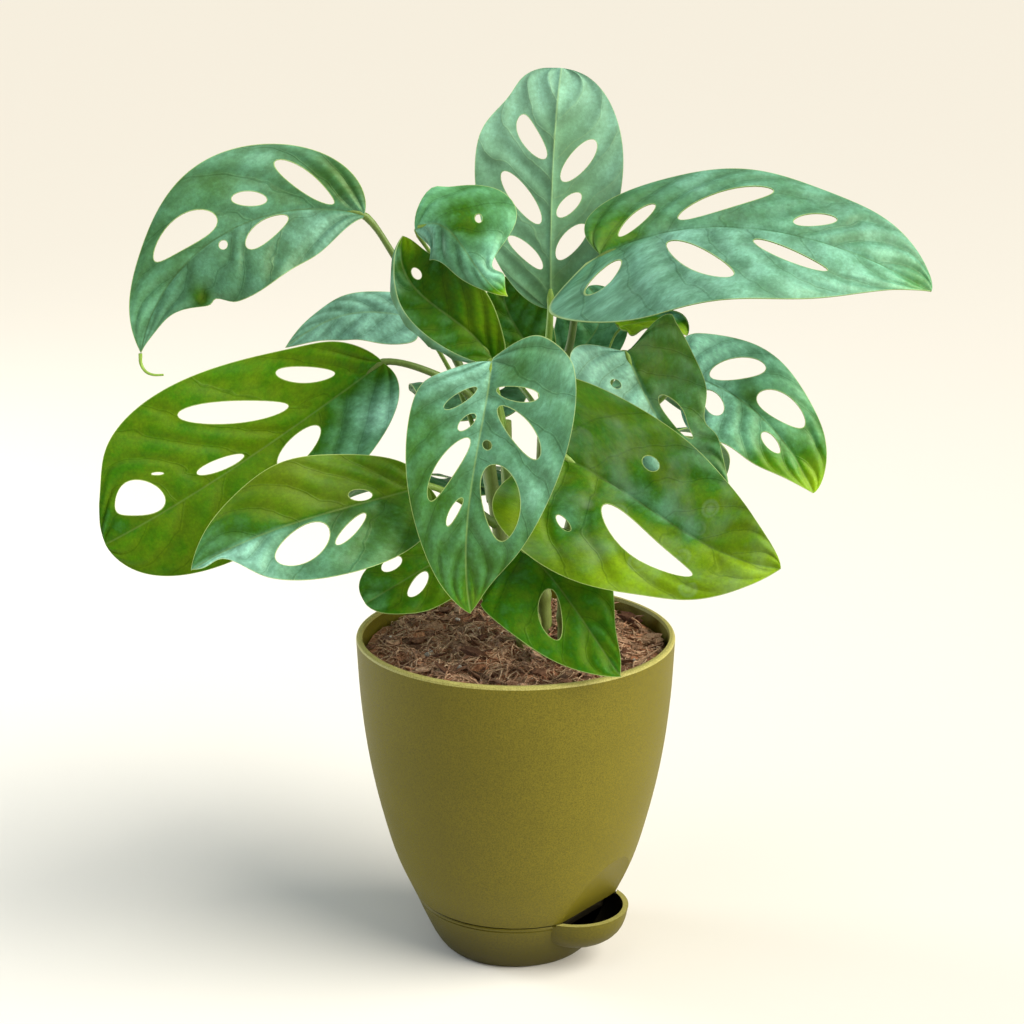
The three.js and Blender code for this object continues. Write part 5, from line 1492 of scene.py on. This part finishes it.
def make_blade(surface, settings, materials):
    """A blade: a flat slab that carries what its materials read, bent to the leaf's form and puckered."""
    blade = make_flat_blade(surface, settings)
    upper, under, edge = range(3)
    facing = face_centres(blade)[1][:, 2]
    paint(blade, materials, np.where(facing > 0.5, upper, np.where(facing < -0.5, under, edge)))
    flat = read_points(blade)
    u = np.clip(flat[:, 0] / surface.length, 0, 1)
    t = np.clip(flat[:, 1] / max(surface.leaf["wide"]), -1, 1)
    width = surface.half_width(u, t)
    phase = surface.vein_phase(u, t)
    off_vein = np.abs(phase - np.round(phase))
    rib = t * width
    margin = (1 - np.abs(t)) * width
    for hole in surface.holes:
        margin = np.minimum(margin, surface.hole_distance(hole, u, t))
    carried = {**blade_shades(surface, u, rib), "vein": phase, "rib": rib, "margin": margin}
    for name in ("marks", "midrib"):
        carried[name] = np.full(len(u), surface.leaf[name])
    for name, values in carried.items():
        carry(blade, name, values)
    corners = np.zeros(len(blade.data.loops), np.int32)
    blade.data.loops.foreach_get("vertex_index", corners)
    sheet = np.stack([u * surface.length, rib], axis=1) * MM
    blade.data.uv_layers.new(name="flat").data.foreach_set("uv", sheet[corners].ravel())
    # The puckers fade out toward margins, holes, the midrib and the narrow ends
    fade = np.clip(margin / 4, 0, 1) * np.clip(np.abs(rib) / 3, 0, 1) * np.clip(width / 8, 0, 1)
    pucker = settings.vein_relief / MM * (2 * np.sin(np.pi * off_vein) - 1) * fade
    crease = -0.35 * bell(rib, 0.9) * np.clip(width / 6, 0, 1)
    keel = -0.55 * (1 - u) * bell(rib, 0.8) - 0.14 * bell(off_vein, 0.06) * fade
    half = settings.blade_thickness / MM / 2
    height = pucker + crease + np.where(flat[:, 2] > 0, half, -half + keel)
    low, high = (np.array(corner) / MM for corner in CAD_BOX)
    write_points(blade, np.clip(surface.points(u, t, height), low + BOX_MARGIN, high - BOX_MARGIN))
    select_only(blade)
    bpy.ops.object.mode_set(mode="EDIT")
    bpy.ops.mesh.select_all(action="SELECT")
    bpy.ops.mesh.remove_doubles(threshold=0.01 * MM)
    bpy.ops.object.mode_set(mode="OBJECT")
    return blade


def make_petiole(surface):
    """The stalk of a leaf, from its stem to a little way along the blade's underside."""
    thick = min(surface.length / 90, 1)
    ends = surface.points(np.array([0, 8 / surface.length]), np.zeros(2), np.array([-1.2, -0.9]))
    steps = 30
    points = curve_through([*reversed(surface.leaf["petiole"]), *ends], steps)
    share = np.linspace(0, 1, steps + 1)
    knee = 0.35 * bell(share - 0.9, 0.05)
    foot_share, blade_share = 1.9, 1.15
    radii = thick * (foot_share + (blade_share - foot_share) * share + knee)
    radii[-2:] *= [0.8, 0.5]
    petiole = stalks([[points, radii]], 4)
    foot = np.array(surface.leaf["petiole"][-1])
    away = np.linalg.norm(read_points(petiole) - foot, axis=1)
    carry(petiole, "tone", away / away.max())
    carry(petiole, "light", np.full(len(away), surface.leaf["stalk"]))
    return petiole


def make_drip_tip(places):
    """The thin curled end of a leaf whose tip has grown long."""
    steps = 16
    points = curve_through(places, steps)
    share = np.linspace(0, 1, steps + 1)
    drip = stalks([[points, 0.8 - 0.4 * share]], 3)
    away = np.linalg.norm(read_points(drip) - points[0], axis=1)
    carry(drip, "tone", 1 + away / away.max())
    carry(drip, "light", np.full(len(away), 1.3))
    return drip


class PLANT_OT_make_leaves(bpy.types.Operator):
    """Makes the leaves, each blade in one piece with its petiole"""

    bl_idname = "plant.make_leaves"
    bl_label = "Make the leaves"

    def execute(self, context):
        settings = context.scene.plant_leaves
        skins = {}
        for slot, gloss in LEAF_GLOSS.items():
            upper = leaf_material(slot + "_upper", gloss, False)
            under = leaf_material(slot + "_under", gloss, True)
            skins[slot] = [upper, under]
        margin = margin_material(settings.margin_colour)
        stalk = stalk_material("petiole_skin", settings.petiole_colour, srgb(126, 160, 60), 0.5)
        for node, leaf in LEAVES.items():
            surface = LeafSurface(leaf)
            blade = make_blade(surface, settings, [*skins[leaf["slot"]], margin])
            parts = [make_petiole(surface)]
            if surface.leaf["drip"]:
                parts.append(make_drip_tip(surface.leaf["drip"]))
            for part in parts:
                part.data.materials.append(stalk)
            join(blade, *parts)
            smooth(blade, 50)
            finish_piece(blade, node.replace("leaf_", "") + "_leaf", leaf["slot"], node)
        return {"FINISHED"}


# The stage

def soft_light(name, place, aim, size, power, colour):
    """A large square light that looks at a point."""
    bpy.ops.object.light_add(type="AREA", location=place)
    light = bpy.context.object
    light.name = name
    light.rotation_euler = (Vector(aim) - Vector(place)).to_track_quat("-Z", "Y").to_euler()
    light.data.size = size
    light.data.energy = power
    light.data.color = colour


class PLANT_OT_make_stage(bpy.types.Operator):
    """Makes the floor, the lights and the camera"""

    bl_idname = "plant.make_stage"
    bl_label = "Make the stage"

    def execute(self, context):
        settings = context.scene.plant_stage
        bpy.ops.object.select_all(action="DESELECT")
        bpy.ops.mesh.primitive_circle_add(vertices=96, radius=30, fill_type="NGON")
        floor = bpy.context.object
        floor.name = "floor"
        material, nodes, shader = new_material("pale_floor")
        nodes.feed(shader.inputs["Base Color"], settings.floor_colour)
        shader.inputs["Roughness"].default_value = 0.9
        shader.inputs["Specular IOR Level"].default_value = 0.1
        floor.data.materials.append(material)
        aim = (0, 0, 0.2)
        bpy.ops.object.light_add(type="SUN")
        sun = context.object
        sun.name = "right_sun"
        sun.rotation_euler = Vector((1.25, -0.5, 0.95)).to_track_quat("Z", "Y").to_euler()
        sun.data.angle = settings.sun_width
        sun.data.energy = settings.sun_strength
        sun.data.color = (1.0, 0.95, 0.84)
        soft_light("left_light", (-1.15, 0.45, 0.4), aim, 0.4, settings.left_power, (0.88, 0.96, 1.0))
        soft_light("top_light", (-0.4, -0.35, 1.4), aim, 1.3, settings.top_power, (0.8, 0.93, 1.0))
        world = bpy.data.worlds.new("sky")
        context.scene.world = world
        world.use_nodes = True
        sky = NodeTree(world.node_tree)
        background = world.node_tree.nodes["Background"]
        sky.feed(background.inputs["Color"], srgb(250, 250, 248))
        background.inputs["Strength"].default_value = settings.sky_strength
        context.scene.view_settings.view_transform = "Standard"
        bpy.ops.object.camera_add(location=(-0.0015, -settings.camera_distance, settings.camera_height),
                                  rotation=(math.pi / 2 - settings.camera_pitch, 0, 0))
        camera = bpy.context.object
        camera.name = "camera"
        camera.data.lens = settings.lens
        camera.data.sensor_width = 36
        context.scene.camera = camera
        return {"FINISHED"}


# The panel

STEPS = ["make_stage", "make_pot", "make_soil", "make_fibres", "make_chips", "make_stems", "make_leaves"]


class PLANT_PT_panel(bpy.types.Panel):
    """Lists the plant's settings and the buttons that make it"""

    bl_label = "Potted vine"
    bl_idname = "PLANT_PT_panel"
    bl_space_type = "VIEW_3D"
    bl_region_type = "UI"
    bl_category = "Plant"

    def draw(self, context):
        for pointer in SETTINGS:
            box = self.layout.box()
            group = getattr(context.scene, pointer)
            for name in group.__annotations__:
                box.prop(group, name)
        for step in STEPS:
            self.layout.operator("plant." + step)


SETTINGS = {
    "plant_pot": PotSettings, "plant_leaves": LeafSettings, "plant_soil": SoilSettings,
    "plant_stage": StageSettings,
}
CLASSES = [
    *SETTINGS.values(), PLANT_OT_make_stage, PLANT_OT_make_pot, PLANT_OT_make_soil, PLANT_OT_make_fibres,
    PLANT_OT_make_chips, PLANT_OT_make_stems, PLANT_OT_make_leaves, PLANT_PT_panel,
]


def register():
    for made in CLASSES:
        bpy.utils.register_class(made)
    for pointer, group in SETTINGS.items():
        setattr(bpy.types.Scene, pointer, PointerProperty(type=group))


def unregister():
    for pointer in SETTINGS:
        delattr(bpy.types.Scene, pointer)
    for made in reversed(CLASSES):
        bpy.utils.unregister_class(made)


def main():
    """Makes every piece."""
    register()
    for step in STEPS:
        getattr(bpy.ops.plant, step)()


if __name__ == "__main__":
    main()
